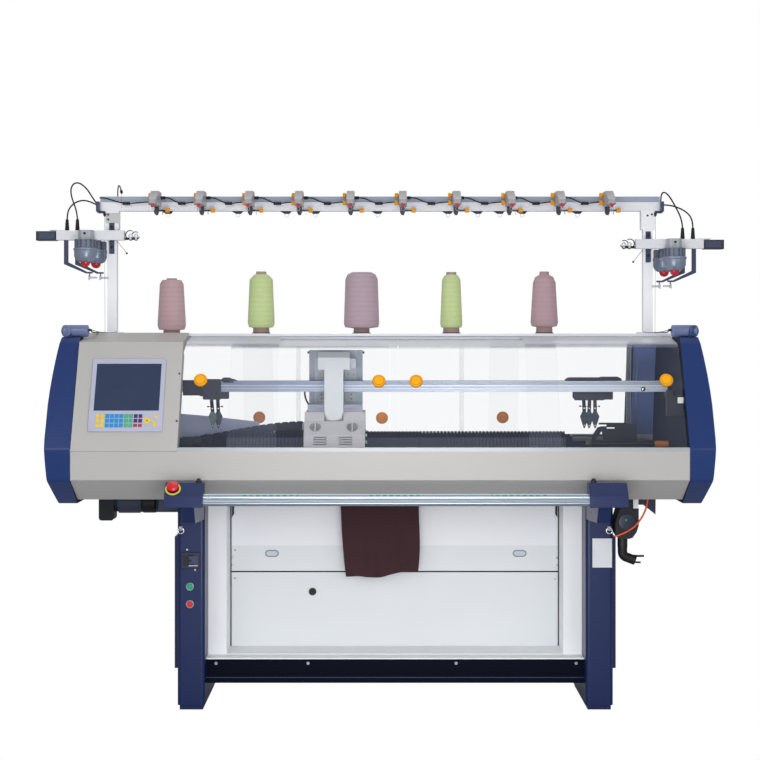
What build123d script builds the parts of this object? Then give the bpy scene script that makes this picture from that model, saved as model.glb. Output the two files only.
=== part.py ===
from build123d import *
import math
import os

# Flat knitting machine. X runs along the needle beds, Y to the back, Z up from the floor.
# Inside the functions Y = 0 is the gap between the two needle beds; every piece is moved by
# FOOTPRINT_SHIFT when it is written, so that the footprint is centred on the origin.

# Overall body
END_INNER_X = 1127.0         # inner faces of the two end covers
END_OUTER_X = 1225.0         # widest point of their crowned outer faces
END_CROWN_DROP = 27.0        # how far the crown falls back at the top and the bottom
COVER_FRONT_Y = -450.0
COVER_REAR_Y = 390.0
COVER_TOP_Z = 997.0
COVER_FACE = 103.0           # height of the upright face above the fold
COVER_FOLD_Z = COVER_TOP_Z - COVER_FACE
COVER_BOTTOM_Z = 808.0
COVER_CHAMFER = 150.0        # depth of the slanted lower part of the front cover
REAR_CHAMFER = 90.0
SHEET = 3.0
FIT_GAP = 0.3                # clearance between pieces that only lie close
BODY_TOP_Z = 1414.0          # top of the end covers
END_BOTTOM_Z = 793.0
END_ROUND = 24.0
LAMP_X = (1103.0, 1200.0)
LAMP_Y = -205.0
LAMP_DIAMETER = 45.0
BASE_X = 58.0                # the legs and beds sit this far right of the covers' middle

# Legs, beams and frame
LEG_WIDTH = 104.0
LEG_DEPTH = 440.0
LEG_FRONT_Y = -200.0
LEG_SPACING = 1548.0
LEG_TOP_Z = 860.0
LEG_CORNER = 14.0
FOOT_HEIGHT = 18.0
DUCT_WIDTH = 15.0
DUCT_BOTTOM_Z = 151.0
DUCT_TOP_Z = 652.0
FRAME_DEPTH = 70.0
FRAME_BEAM_WIDTH = 60.0
FRAME_BEAM_Y = 210.0         # centre line of the long beams, in front and behind
CROSS_HEIGHT = 40.0
CROSS_WIDTH = 44.0
BEAM_BOTTOM_Z = 92.0
BEAM_TOP_Z = 186.0
BEAM_FRONT_Y = -150.0
BEAM_DEPTH = 60.0

# Bay between the legs
BAY_FRONT_Y = -79.0
BAY_BACK_Y = 80.0
BAY_FLOOR_Z = 190.0
COLUMN_WIDTH = 72.0
PANEL_SPLIT_Z = 484.0
PANEL_GAP = 5.5
PANEL_THICK = 8.0
PANEL_GRIPS_X = (-428.0, 553.0)
PANEL_GRIP_Z = 556.0
GRIP_LENGTH = 55.0
GRIP_HEIGHT = 28.0
GRIP_DEPTH = 5.0
GROMMET = (-267.0, 405.0)    # X and Z of the cable hole in the lower panel
GROMMET_DIAMETER = 22.0

# Hoods
FOOT_RISE = 9.0              # foot of the panes above the covers' top
HOOD_FOOT = (-444.0, COVER_TOP_Z + FOOT_RISE)
HOOD_BEND = (-262.0, 1384.0)
HOOD_END = (-72.0, 1416.5)
HOOD_RADIUS = 40.0
HOOD_THICK = 4.0
TRACK_PITCH = 9.0
TRACK_CLEARANCE = 0.35
RAIL_HEIGHT = 14.0
FRONT_HOODS = ((-729.0, -379.0, -664.0), (-559.0, 67.0, -4.0), (69.0, 662.0, 134.0), (545.0, 1118.0, 1060.0))
FRONT_TRACKS = (0, 1, 1, 0)
REAR_HOODS = ((-1030.0, -440.0, -500.0), (-560.0, 38.0, 8.0), (42.0, 568.0, 508.0))
REAR_TRACKS = (0, 1, 0)
REAR_PANE = (448.0, 1031.0)
REAR_PANEL_X = 1035.0        # where the dark end panels of the rear begin
REAR_FOOT = (-376.0, COVER_TOP_Z + FOOT_RISE)  # written as if in front, then mirrored
REAR_BEND = (-292.0, 1376.0)
REAR_END = (-246.0, 1400.0)
REAR_RADIUS = 25.0
RAIL_DEPTH = 30.0
TOP_RAIL_DEPTH = 26.0
TOP_RAIL_HEIGHT = 28.0
KNOB_Z = COVER_TOP_Z + 249.0
REAR_KNOB_Z = COVER_TOP_Z + 79.0
KNOB_DIAMETER = 50.0
KNOB_HEIGHT = 24.0

# Control box, on the left; its outline is in the YZ plane
BOX_X = (-1126.7, -738.0)
BOX_FOOT = (-453.0, COVER_TOP_Z + 1.6)
BOX_TOP = (-266.0, 1395.0)
BOX_END = (-60.3, 1430.0)
BOX_CASE_DEPTH = 55.0
BEZEL_THICK = 6.0
BEZEL_WIDTH = 272.0
BEZEL_HEIGHT = 292.0
BEZEL_UP = 221.0             # middle of the bezel, up the slope from the box's foot
SCREEN_X = -932.5
SCREEN_WIDTH = 240.0
SCREEN_HEIGHT = 189.0
SCREEN_UP = 252.0
KEY_THICK = 0.8
KEY_FIELDS_X = (-1042.0, -981.0, -908.0, -862.0)
KEY_COLUMNS = (2, 4, 2, 3)
KEY_ROWS = (3, 3, 3, 2)
KEY_PITCH = 16.5
KEY_SIZE = 13.0
KEYS_UP = 118.0
KEYS = [(x + (i - (columns - 1) / 2) * KEY_PITCH, KEYS_UP + (j - (rows - 1) / 2) * KEY_PITCH, KEY_SIZE, KEY_SIZE)
        for x, columns, rows in zip(KEY_FIELDS_X, KEY_COLUMNS, KEY_ROWS) for i in range(columns) for j in range(rows)]
KEYS = KEYS + [(-822.0, KEYS_UP - 12, 26.0, 26.0), (-822.0, KEYS_UP + 18, 20.0, 12.0)]

# Yarn table and cones
TABLE_TOP_Z = 1427.0
TABLE_FRONT_Y = -60.0
TABLE_REAR_Y = 232.0
TABLE_LIP = 24.0
TABLE_POSTS_X = (-1006.0, -330.0, 330.0, 1006.0)
TABLE_POSTS_Y = (211.5, TABLE_REAR_Y - SHEET)
CONE_Y = 75.0
# X, tube (height, base and tip diameter), foot and shoulder height, then (radius, height) of the yarn
CONES = (
    (-824.0, (215.0, 66.0, 40.0), 1440.0, 1640.0,
     ((50.0, 1442.0), (55.5, 1456.0), (55.5, 1474.0), (47.0, 1622.0), (38.0, 1638.0))),
    (-470.0, (242.0, 66.0, 40.0), 1449.0, 1662.0,
     ((48.0, 1452.0), (53.5, 1468.0), (46.0, 1640.0), (30.0, 1658.0))),
    (-73.0, (225.0, 64.0, 44.0), 1447.0, 1650.0,
     ((66.0, 1452.0), (70.0, 1466.0), (64.5, 1640.0), (56.0, 1660.0), (40.0, 1669.0), (26.0, 1668.0))),
    (282.0, (240.0, 66.0, 40.0), 1449.0, 1660.0,
     ((41.0, 1452.0), (44.0, 1466.0), (36.5, 1640.0), (27.0, 1656.0))),
    (650.0, (242.0, 66.0, 37.0), 1452.0, 1660.0,
     ((50.0, 1456.0), (54.5, 1470.0), (45.0, 1628.0), (36.0, 1650.0))),
)

# Needle beds
BED_CENTRE_X = 62.0
BED_LENGTH = 1320.0
BED_ANGLE = 50.0
BED_WIDTH = 150.0
BED_THICK = 20.0
BED_RIDGE_Z = 1045.0
BED_GAP = 4.0
TRICKS = 96
TRICK_WIDTH = 4.0
TRICK_DEPTH = 5.0
NEEDLE_WIDTH = 1.8
NEEDLE_TOP = 2.0              # needles lie this far below the bed's surface
SUPPORT_OFFSETS = (-622.0, -302.0, 302.0, 622.0)
SUPPORT_WIDTH = 24.0
RACK_GAP = 0.3               # running gap under the rear bed
RACK_TRAVEL = 12.7
END_STEPS = ((21.0, 11.0), (30.0, 19.0), (81.0, 37.0))   # length from the right bed end, drop from the ridge
END_BLOCK = 88.0             # length of the left end block
END_BOX = 36.0               # its outer, boxed part
TIE_ROD_DROP = 18.0
# Buffer bracket beyond the right end: distance from the bed's end, height from the ridge
BUFFER_OUTLINE = ((102.0, -40.0), (109.0, -15.0), (129.0, 15.0), (145.0, 19.0), (164.0, 19.0), (164.0, 26.0),
                  (134.0, 26.0), (134.0, 33.0), (238.0, 33.0), (282.0, 27.0), (282.0, -40.0))
BUFFER_WINDOW = ((121.0, -33.0), (144.5, 1.0), (153.0, -33.0))
BUFFER_BAR_DROP = 50.0
BUFFER_BAR_DIAMETER = 28.0
BUFFER_CORE = 12.0
BUFFER_SLEEVE = 24.0
BUFFER_RINGS_X = ((1072.0, 1084.0), (1104.0, 1127.0))

# Yarn rails and carriers
RAIL_Z = (1200.0, 1242.0)
RAIL_THICK = 10.0
RAIL_PITCH = 34.0
RAIL_YS = (-RAIL_PITCH, 0.0, RAIL_PITCH)
GROOVE_Z = 1222.0
GROOVE_HEIGHT = 12.0
GROOVE_DEPTH = 3.0
SHOE_THICK = 9.0
SHOE_LENGTH = 60.0
BLADE_THICK = 2.6
CARRIER_TIP_Z = 1056.0
CARRIER_TRACKS = ((-RAIL_PITCH, -1), (-RAIL_PITCH, 1), (0.0, -1), (0.0, 1), (RAIL_PITCH, -1))
CARRIER_TIPS = (-8.0, -4.0, 0.0, 4.0, 8.0)
BLADE_HEIGHT = 66.0
# X of each carrier, its side plate (left and right edge from X, bottom and top) and its catch on
# top (left and right end from X, top)
CARRIERS = (
    (-654.0, (-34.0, 36.0, 1170.0, 1250.0), (34.0, 86.0, 1256.0)),
    (-632.0, (-20.0, 44.0, 1172.0, 1248.0), (44.0, 80.0, 1250.0)),
    (818.0, (-60.0, 58.0, 1166.0, 1250.0), (-92.0, 60.0, 1256.0)),
    (842.0, (-20.0, 70.0, 1168.0, 1250.0), (10.0, 104.0, 1258.0)),
    (800.0, (-44.0, 60.0, 1172.0, 1250.0), (-76.0, 20.0, 1254.0)),
)
STEM_SCREW_Z = 1142.0

# Carriage
CARRIAGE_X = -174.0
CARRIAGE_WIDTH = 211.0
CAM_GAP = 0.5
CAM_THICK = 16.0
T_X = -177.5                 # middle of the T cover and the front column
COLUMN_Y = 72.0
COVER_HALF = 116.5
CARRIAGE_PLATES = ((-139.0, -92.0, 1248.0, 1319.0), (-244.0, -216.0, 1256.0, 1319.0),
                   (-246.0, -216.0, 1160.0, 1196.0), (-138.0, -91.0, 1160.0, 1196.0))
SHELL_Y = 73.0               # back of the beige shells, against the arch
GUIDE_Y = 112.0
GUIDE_Z = 930.0
GUIDE_DIAMETER = 16.0

# Drive
PULLEY_X = 1072.0
PULLEY_Y = 140.0
PULLEY_DIAMETER = 50.0
BELT_Z = (955.0, 980.0)
BELT_THICK = 3.0
TAKE_MOTOR_X = (905.0, 976.0)
TAKE_MOTOR_Y = (-236.0, -120.0)
TAKE_MOTOR_TOP_Z = 768.0
HOSE_DIAMETER = 36.0
MAIN_MOTOR_Z = 755.0
SHAFT_DIAMETER = 16.0

# Take-down
ROLLER_Z = 824.0
ROLLER_DIAMETER = 50.0
ROLLER_JOURNAL = 20.0
PRESS_DIAMETER = 30.0
PRESS_JOURNAL = 12.0
CLOTH_THICK = 3.0
CLOTH_X = (-157.0, 160.0)
CLOTH_BOTTOM_Z = 468.0

# Start bar
BAR_Y = -550.0
BAR_Z = 831.0
BAR_DIAMETER = 44.0
BAR_X = (-663.0, 779.0)
BAR_FLUTES = 16
BRACKET_WIDTH = 138.0
BRACKET_OUTER = 827.0        # outer side of each bracket from BASE_X
BRACKET_FRONT_Y = -580.0
BRACKET_Z = (806.0, 892.0)
ESTOP_SLANT = 44.0
ESTOP_X = -739.0
ESTOP_HEAD = 43.0
ESTOP_RIM = (16.0, 25.0)     # radius and height of the head's upper rim
BUTTON_X = -720.0
BUTTONS_Z = (468.0, 401.5)
BUTTON_DIAMETER = 22.0
BREAKER_X = -717.0
BREAKER_Z = 568.0
RINGS_X = (-754.0, 868.0)
RING_Z = 682.0

# Top stand
POST_X = 1070.0
POST_SIZE = 38.0
POST_Y = 150.0
BAR_TOP_Z = 1974.0
TOP_BAR_HEIGHT = 58.0
BAR_OVERHANG = 47.0
TOP_BAR_HALF = POST_X + BAR_OVERHANG
BAR_FRONT_Y = 130.0
UNITS_X = (-887.0, -707.0, -515.0, -319.0, -116.0, 90.0, 302.0, 514.0, 710.0, 903.0)
UNIT_DROP = 16.0             # middle of the units below the bar's top
UNIT_Z = BAR_TOP_Z - UNIT_DROP
UNIT_DEPTH = 165.0
UNIT_WIDTH = 30.0
UNIT_KNOB = 19.0
UNIT_KNOB_INSET = 32.0        # knobs and side rod from the bar's face
LEAD_INSET = 18.0
EYELETS_X = (-847.0, -567.0, -373.0, -258.0, -9.0, 272.0, 391.0, 478.0, 568.0, 789.0)
EYE_DIAMETER = 16.0

# Yarn feeders at the ends; X of the left side, the right side mirrors it and hangs lower
FEEDER_X = (-1285.0, -1016.0)
FEEDER_Y = (91.0, 131.0)
FEEDER_Z = (1798.0, 1836.0)
FEEDER_DROP = 34.0
FEEDER_FRONT_X = -1163.0
FEEDER_BACK_X = -1146.0
DRUM_SLOTS = 14
RELIEFS = ((-1246.0, 116.0), (-1203.0, 106.0))
RELIEF_HEIGHT = 45.0
CLAMP_RISE = 32.0            # post clamps above and below the beam
CLAMP_DROP = 53.0
LEAD_DIAMETER = 6.0
FEEDER_LEADS = (
    ((-1246.0, 116.0, 1881.0), (-1245.0, 116.0, 1906.0), (-1235.0, 118.0, 1931.0), (-1214.0, 121.0, 1950.0),
     (-1186.0, 126.0, 1959.0), (-1157.0, 133.0, 1954.0), (-1129.0, 140.0, 1940.0)),
    ((-1203.0, 106.0, 1881.0), (-1205.0, 104.0, 1908.0), (-1214.0, 100.0, 1938.0), (-1225.0, 97.0, 1969.0),
     (-1229.0, 99.0, 2001.0), (-1218.0, 105.0, 2025.0), (-1194.0, 111.0, 2027.0), (-1166.0, 117.0, 2002.0),
     (-1147.0, 122.0, 1970.0), (-1129.0, 126.0, 1944.0)),
    ((1203.0, 106.0, 1847.0), (1200.0, 103.0, 1873.0), (1189.0, 97.0, 1900.0), (1174.0, 92.0, 1927.0),
     (1160.0, 91.0, 1952.0), (1147.0, 97.0, 1974.0), (1136.0, 110.0, 1988.0), (1127.0, 129.0, 1990.0),
     (1123.0, 142.0, 1975.0), (1123.0, 145.0, 1952.0)),
    ((1246.0, 116.0, 1847.0), (1245.0, 116.0, 1873.0), (1234.0, 118.0, 1898.0), (1213.0, 122.0, 1917.0),
     (1187.0, 127.0, 1930.0), (1159.0, 132.0, 1939.0), (1129.0, 136.0, 1941.0)),
)

# Cable chain of the carriage: fixed and moving end as X and Z
CHAIN_ENDS = ((-880.0, 985.0), (-309.0, 1056.0))
CHAIN_Y = 200.0
CHAIN_WIDTH = 20.0
CHAIN_LINKS = 19
CHAIN_HALF = (13.0, 17.5)     # half height at a joint and in the middle of a link

# Screw heads
BEAM_SCREWS_X = (-627.0, -275.0, 291.0, 750.0)
PANEL_SCREWS = ((-584.0, 540.0), (-584.0, 512.0), (702.0, 538.0), (702.0, 510.0),
                (-574.0, 458.0), (693.0, 454.0))

FOOTPRINT_FRONT_Y = BRACKET_FRONT_Y + ESTOP_SLANT / 2 - math.sqrt(0.5) * (ESTOP_RIM[0] + ESTOP_RIM[1])
FOOTPRINT_SHIFT = -(FOOTPRINT_FRONT_Y + COVER_REAR_Y) / 2

NODES = {}


def block(x0, x1, y0, y1, z0, z1):
    """Box given by its six faces."""
    centre = Pos((x0 + x1) / 2, (y0 + y1) / 2, (z0 + z1) / 2)
    return centre * Box(abs(x1 - x0), abs(y1 - y0), abs(z1 - z0))


def rod_x(x0, x1, y, z, diameter):
    """Round rod along X."""
    return Pos((x0 + x1) / 2, y, z) * Rot(0, 90, 0) * Cylinder(diameter / 2, abs(x1 - x0))


def rod_y(x, y0, y1, z, diameter):
    """Round rod along Y."""
    return Pos(x, (y0 + y1) / 2, z) * Rot(90, 0, 0) * Cylinder(diameter / 2, abs(y1 - y0))


def rod_z(x, y, z0, z1, diameter):
    """Round rod along Z."""
    return Pos(x, y, (z0 + z1) / 2) * Cylinder(diameter / 2, abs(z1 - z0))


def side_profile(points, x0, x1):
    """Solid whose outline in the YZ plane is given, from x0 to x1."""
    face = Plane.YZ.offset(x0) * make_face(Polyline(*points, close=True))
    return extrude(face, x1 - x0)


def front_profile(points, y0, y1):
    """Solid whose outline in the XZ plane is given, from y0 to y1."""
    face = Plane.XZ.offset(-y0) * make_face(Polyline(*points, close=True))
    return extrude(face, -(y1 - y0))


def mitred(points, distance):
    """The open polyline moved sideways by distance, to the left of its direction."""
    moved = []
    for i, (y, z) in enumerate(points):
        normals = []
        for j in (i - 1, i):
            if 0 <= j < len(points) - 1:
                dy = points[j + 1][0] - points[j][0]
                dz = points[j + 1][1] - points[j][1]
                length = math.hypot(dy, dz)
                normals.append((-dz / length, dy / length))
        ny = sum(n[0] for n in normals)
        nz = sum(n[1] for n in normals)
        scale = distance * 2 / (ny * ny + nz * nz) if len(normals) == 2 else distance
        moved.append((y + ny * scale, z + nz * scale))
    return moved


def folded_sheet(points, thickness, x0, x1):
    """Sheet folded along a polyline in the YZ plane, as wide as x0 to x1."""
    left = mitred(points, thickness / 2)
    right = mitred(points, -thickness / 2)
    return side_profile(left + right[::-1], x0, x1)


def hood_curve(points, distance, bend_radius):
    """Edge of a bent hood pane: two straight runs with an arc between them."""
    return FilletPolyline(*mitred(points, distance), radius=bend_radius + distance)


def hood_section(points, distance, thickness, bend_radius, x0, x1):
    """Bent pane that lies at a distance from the hood's middle line."""
    outer = hood_curve(points, distance + thickness / 2, bend_radius)
    inner = hood_curve(points, distance - thickness / 2, bend_radius)
    ends = [Line(outer @ 0, inner @ 0), Line(outer @ 1, inner @ 1)]
    face = make_face([outer, inner] + ends)
    return extrude(Plane.YZ.offset(x0) * face, x1 - x0)


def fuse(pieces):
    """One solid from a list of touching pieces."""
    whole = pieces[0]
    for piece in pieces[1:]:
        whole = whole + piece
    return whole


def group(pieces):
    """Separate solids that share a node."""
    return Compound(children=[solid for piece in pieces for solid in piece.solids()])


def keep(name, shape):
    """Remember a finished piece under its node's name."""
    NODES[name] = shape


def roller_axis(diameter):
    """How far a roller's axis lies from the middle of the cloth that it just clears."""
    return CLOTH_THICK / 2 + FIT_GAP + diameter / 2


def leg(centre_x, outward):
    """Box leg on a plinth, with a flat cable duct on its outer side."""
    x0 = centre_x - LEG_WIDTH / 2
    x1 = centre_x + LEG_WIDTH / 2
    y1 = LEG_FRONT_Y + LEG_DEPTH
    column = block(x0, x1, LEG_FRONT_Y, y1, FOOT_HEIGHT, LEG_TOP_Z)
    column = fillet(column.edges().filter_by(Axis.Z), LEG_CORNER)
    inset = 8.0
    plinth = block(x0 + inset, x1 - inset, LEG_FRONT_Y + inset, y1 - inset, 0, FOOT_HEIGHT)
    side = x1 if outward > 0 else x0
    duct = block(side, side + outward * DUCT_WIDTH, LEG_FRONT_Y + 40, y1 - 40, DUCT_BOTTOM_Z, DUCT_TOP_Z)
    return column + plinth + duct


def lower_beam():
    """Cross beam between the legs: a shallow recess above, a plain tube below."""
    half = LEG_SPACING / 2 - LEG_WIDTH / 2
    x0, x1 = BASE_X - half, BASE_X + half
    y1 = BEAM_FRONT_Y + BEAM_DEPTH
    split_z = BEAM_BOTTOM_Z + 32
    lip = 6.0
    body = block(x0, x1, BEAM_FRONT_Y, y1, BEAM_BOTTOM_Z, BEAM_TOP_Z)
    recess = block(x0, x1, BEAM_FRONT_Y - 1, BEAM_FRONT_Y + lip, split_z, BEAM_TOP_Z - lip)
    hollow = block(x0, x1, y1 - 20, y1 + 1, BEAM_BOTTOM_Z + 12, BEAM_TOP_Z - 12)
    return body - recess - hollow


def frame_crossings():
    """Middle X of each cross member of the bed frame."""
    legs = [BASE_X - LEG_SPACING / 2, BASE_X + LEG_SPACING / 2]
    beds = [BED_CENTRE_X + offset for offset in SUPPORT_OFFSETS]
    return sorted([-PULLEY_X, PULLEY_X] + legs + beds)


def bed_point(along, outward):
    """YZ place on the front bed: down its slope from the ridge, and out from its surface."""
    c, s = math.cos(math.radians(BED_ANGLE)), math.sin(math.radians(BED_ANGLE))
    return (-BED_GAP / 2 - along * c - outward * s, BED_RIDGE_Z - along * s + outward * c)


def support_wedge(centre_x, gap):
    """Casting under the front bed, with its slanted top gap below the bed's underside."""
    base_z = LEG_TOP_Z + CROSS_HEIGHT
    low_y, low_z = bed_point(BED_WIDTH, -BED_THICK - gap)
    slope = math.tan(math.radians(BED_ANGLE))
    inner_y = -8.0
    inner_z = low_z + (inner_y - low_y) * slope
    outline = [(low_y, base_z), (low_y, low_z), (inner_y, inner_z), (inner_y, base_z)]
    return side_profile(outline, centre_x - SUPPORT_WIDTH / 2, centre_x + SUPPORT_WIDTH / 2)


def bearing_plate(centre_x):
    """Plate under the frame that holds the two take-down rollers."""
    plate = block(centre_x - 6, centre_x + 6, -46, 66, ROLLER_Z - 38, LEG_TOP_Z)
    for y, diameter in (roller_axis(ROLLER_DIAMETER), ROLLER_JOURNAL), (-roller_axis(PRESS_DIAMETER), PRESS_JOURNAL):
        plate = plate - rod_x(centre_x - 7, centre_x + 7, y, ROLLER_Z, diameter + 2 * FIT_GAP)
    return plate


def guide_rail(y, crossings):
    """Round carriage guide, and the short posts on the cross members that it lies on."""
    rail = rod_x(-END_INNER_X, END_INNER_X, y, GUIDE_Z, GUIDE_DIAMETER)
    post_top = GUIDE_Z - GUIDE_DIAMETER / 2 + 1
    posts = [block(x - 10, x + 10, y - 3, y + 3, LEG_TOP_Z + CROSS_HEIGHT, post_top) - rail
             for x in crossings]
    return [rail] + posts


def bed_frame():
    """Frame of two long beams and eight cross members, with the castings that carry the beds."""
    top = LEG_TOP_Z + FRAME_DEPTH
    inner = FRAME_BEAM_Y - FRAME_BEAM_WIDTH / 2
    outer = FRAME_BEAM_Y + FRAME_BEAM_WIDTH / 2
    frame = [block(-END_INNER_X, END_INNER_X, -outer, -inner, LEG_TOP_Z, top),
             block(-END_INNER_X, END_INNER_X, inner, outer, LEG_TOP_Z, top)]
    crossings = frame_crossings()
    for x in crossings:
        member = block(x - CROSS_WIDTH / 2, x + CROSS_WIDTH / 2, -inner, inner,
                       LEG_TOP_Z, LEG_TOP_Z + CROSS_HEIGHT)
        if abs(x) == PULLEY_X:
            member = member - rod_z(x, PULLEY_Y, LEG_TOP_Z - 1, LEG_TOP_Z + CROSS_HEIGHT + 1,
                                    SHAFT_DIAMETER + 2 * FIT_GAP)
        frame.append(member)
    for offset in SUPPORT_OFFSETS:
        x = BED_CENTRE_X + offset
        frame.append(support_wedge(x, 0))
        frame.append(mirror(support_wedge(x, RACK_GAP), about=Plane.XZ))
    for offset in (SUPPORT_OFFSETS[0], SUPPORT_OFFSETS[-1]):
        frame.append(bearing_plate(BED_CENTRE_X + offset))
    return group(frame + guide_rail(-GUIDE_Y, crossings) + guide_rail(GUIDE_Y, crossings))


def bay_liner():
    """White folded liner between the legs, and the two loose back panels behind it."""
    half = LEG_SPACING / 2 - LEG_WIDTH / 2
    x0, x1 = BASE_X - half, BASE_X + half
    inner0, inner1 = x0 + COLUMN_WIDTH, x1 - COLUMN_WIDTH
    lip_z = BAY_FLOOR_Z - 17
    front = BAY_FRONT_Y
    liner = [block(x0, inner0, front, front + SHEET, lip_z, LEG_TOP_Z),
             block(inner1, x1, front, front + SHEET, lip_z, LEG_TOP_Z),
             block(inner0 - SHEET, inner0, front, BAY_BACK_Y, lip_z, LEG_TOP_Z),
             block(inner1, inner1 + SHEET, front, BAY_BACK_Y, lip_z, LEG_TOP_Z),
             block(inner0, inner1, front, BAY_BACK_Y, BAY_FLOOR_Z - SHEET, BAY_FLOOR_Z),
             block(inner0, inner1, front, front + SHEET, lip_z, BAY_FLOOR_Z - SHEET)]
    edge0, edge1 = inner0 - SHEET, inner1 + SHEET
    back = BAY_BACK_Y + PANEL_THICK
    upper = block(edge0, edge1, BAY_BACK_Y, back, PANEL_SPLIT_Z + PANEL_GAP / 2, LEG_TOP_Z)
    lower = block(edge0, edge1, BAY_BACK_Y, back, lip_z, PANEL_SPLIT_Z - PANEL_GAP / 2)
    for x in PANEL_GRIPS_X:
        grip = Pos(x, 0, PANEL_GRIP_Z) * Plane.XZ * SlotOverall(GRIP_LENGTH, GRIP_HEIGHT)
        upper = upper - Pos(0, BAY_BACK_Y, 0) * extrude(grip, -GRIP_DEPTH)
    grommet_x, grommet_z = GROMMET
    hole = rod_y(grommet_x, BAY_BACK_Y - 1, back + 1, grommet_z, GROMMET_DIAMETER)
    ring = rod_y(grommet_x, BAY_BACK_Y, back, grommet_z, GROMMET_DIAMETER)
    ring = ring + rod_y(grommet_x, BAY_BACK_Y - 3, BAY_BACK_Y, grommet_z, GROMMET_DIAMETER + 8)
    ring = ring - rod_y(grommet_x, BAY_BACK_Y - 5, back + 1, grommet_z, GROMMET_DIAMETER - 8)
    return group([fuse(liner), upper, lower - hole, ring])


def front_cover():
    """Folded front sheet: top lip, upright face, slanted lower part and a flange on the frame."""
    half = SHEET / 2
    frame_face = -(FRAME_BEAM_Y + FRAME_BEAM_WIDTH / 2) - half
    face = COVER_FRONT_Y + half
    top = COVER_TOP_Z - half
    bottom = COVER_BOTTOM_Z + half
    points = [(COVER_FRONT_Y + RAIL_DEPTH, top), (face, top), (face, COVER_FOLD_Z),
              (COVER_FRONT_Y + COVER_CHAMFER, bottom), (frame_face, bottom), (frame_face, 925.0)]
    return folded_sheet(points, SHEET, -END_INNER_X + FIT_GAP, END_INNER_X - FIT_GAP)


def rear_cover():
    """Folded rear sheet, the same idea as the front one with a shorter slant."""
    half = SHEET / 2
    frame_face = FRAME_BEAM_Y + FRAME_BEAM_WIDTH / 2 + half
    face = COVER_REAR_Y - half
    top = COVER_TOP_Z - half
    bottom = COVER_BOTTOM_Z + half
    points = [(COVER_REAR_Y - RAIL_DEPTH, top), (face, top), (face, COVER_FOLD_Z),
              (COVER_REAR_Y - REAR_CHAMFER, bottom), (frame_face, bottom), (frame_face, 925.0)]
    return folded_sheet(points, SHEET, -END_INNER_X + FIT_GAP, END_INNER_X - FIT_GAP)


def end_cover():
    """Right end moulding: a smooth side outline with a crowned outer face, and its lamp."""
    corners = [(-300, END_BOTTOM_Z), (COVER_FRONT_Y, 890), (COVER_FRONT_Y, COVER_TOP_Z + 9), (-262, 1390),
               (-236, BODY_TOP_Z), (236, BODY_TOP_Z), (296, 1372), (COVER_REAR_Y, COVER_TOP_Z + 9),
               (COVER_REAR_Y, 890), (300, END_BOTTOM_Z)]
    outline = make_face(Polyline(*corners, close=True))
    outline = fillet(outline.vertices(), END_ROUND)
    side = extrude(Plane.YZ.offset(END_INNER_X) * outline, END_OUTER_X - END_INNER_X)
    low = (END_OUTER_X - END_CROWN_DROP, END_BOTTOM_Z - 5)
    high = (END_OUTER_X - END_CROWN_DROP, BODY_TOP_Z + 5)
    middle = (END_OUTER_X, (END_BOTTOM_Z + BODY_TOP_Z) / 2 - 60)
    crown = ThreePointArc(low, middle, high)
    back = Polyline(high, (END_INNER_X, high[1]), (END_INNER_X, low[1]), low)
    crowned = extrude(Plane.XZ.offset(500) * make_face([crown, back]), -1000)
    moulding = side & crowned
    lamp = rod_x(LAMP_X[0], LAMP_X[1], LAMP_Y, BODY_TOP_Z + LAMP_DIAMETER / 2, LAMP_DIAMETER)
    lamp = fillet(lamp.edges(), 6)
    return group([moulding, lamp])


def slide_knob(points, x, z, outward_gap):
    """Turned knob that stands square on the slanted run of a hood."""
    (y0, z0), (y1, z1) = points[0], points[1]
    run = math.hypot(y1 - y0, z1 - z0)
    along = ((y1 - y0) / run, (z1 - z0) / run)
    normal = Vector(0, -along[1], along[0])
    foot_y = y0 + (z - z0) * (y1 - y0) / (z1 - z0)
    base = Plane(origin=Vector(x, foot_y, z) + normal * outward_gap, x_dir=(1, 0, 0), z_dir=normal)
    r = KNOB_DIAMETER / 2
    outline = Polyline((0, 0), (r * 0.6, 0), (r * 0.6, KNOB_HEIGHT * 0.3), (r, KNOB_HEIGHT * 0.45),
                       (r, KNOB_HEIGHT * 0.85), (r * 0.85, KNOB_HEIGHT), (0, KNOB_HEIGHT), close=True)
    knob = revolve(Plane.XZ * make_face(outline), Axis.Z)
    return base * knob


def track_offset(track):
    """Distance of a track's pane from the hood's middle line: 0 is the outer track, 1 the inner."""
    return -TRACK_PITCH * track


def sliding_hood(points, bend_radius, pane, track, knob_z):
    """Clear bent pane with its knob; pane is its left edge, right edge and knob X."""
    x0, x1, knob_x = pane
    offset = track_offset(track)
    sheet = hood_section(points, offset, HOOD_THICK, bend_radius, x0, x1)
    return group([sheet, slide_knob(points, knob_x, knob_z, offset + HOOD_THICK / 2)])


def stretched(points, extra):
    """The polyline made longer by extra at both ends."""
    moved = list(points)
    for end, beside in ((0, 1), (-1, -2)):
        dy = points[end][0] - points[beside][0]
        dz = points[end][1] - points[beside][1]
        run = math.hypot(dy, dz)
        moved[end] = (points[end][0] + dy / run * extra, points[end][1] + dz / run * extra)
    return moved


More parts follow.
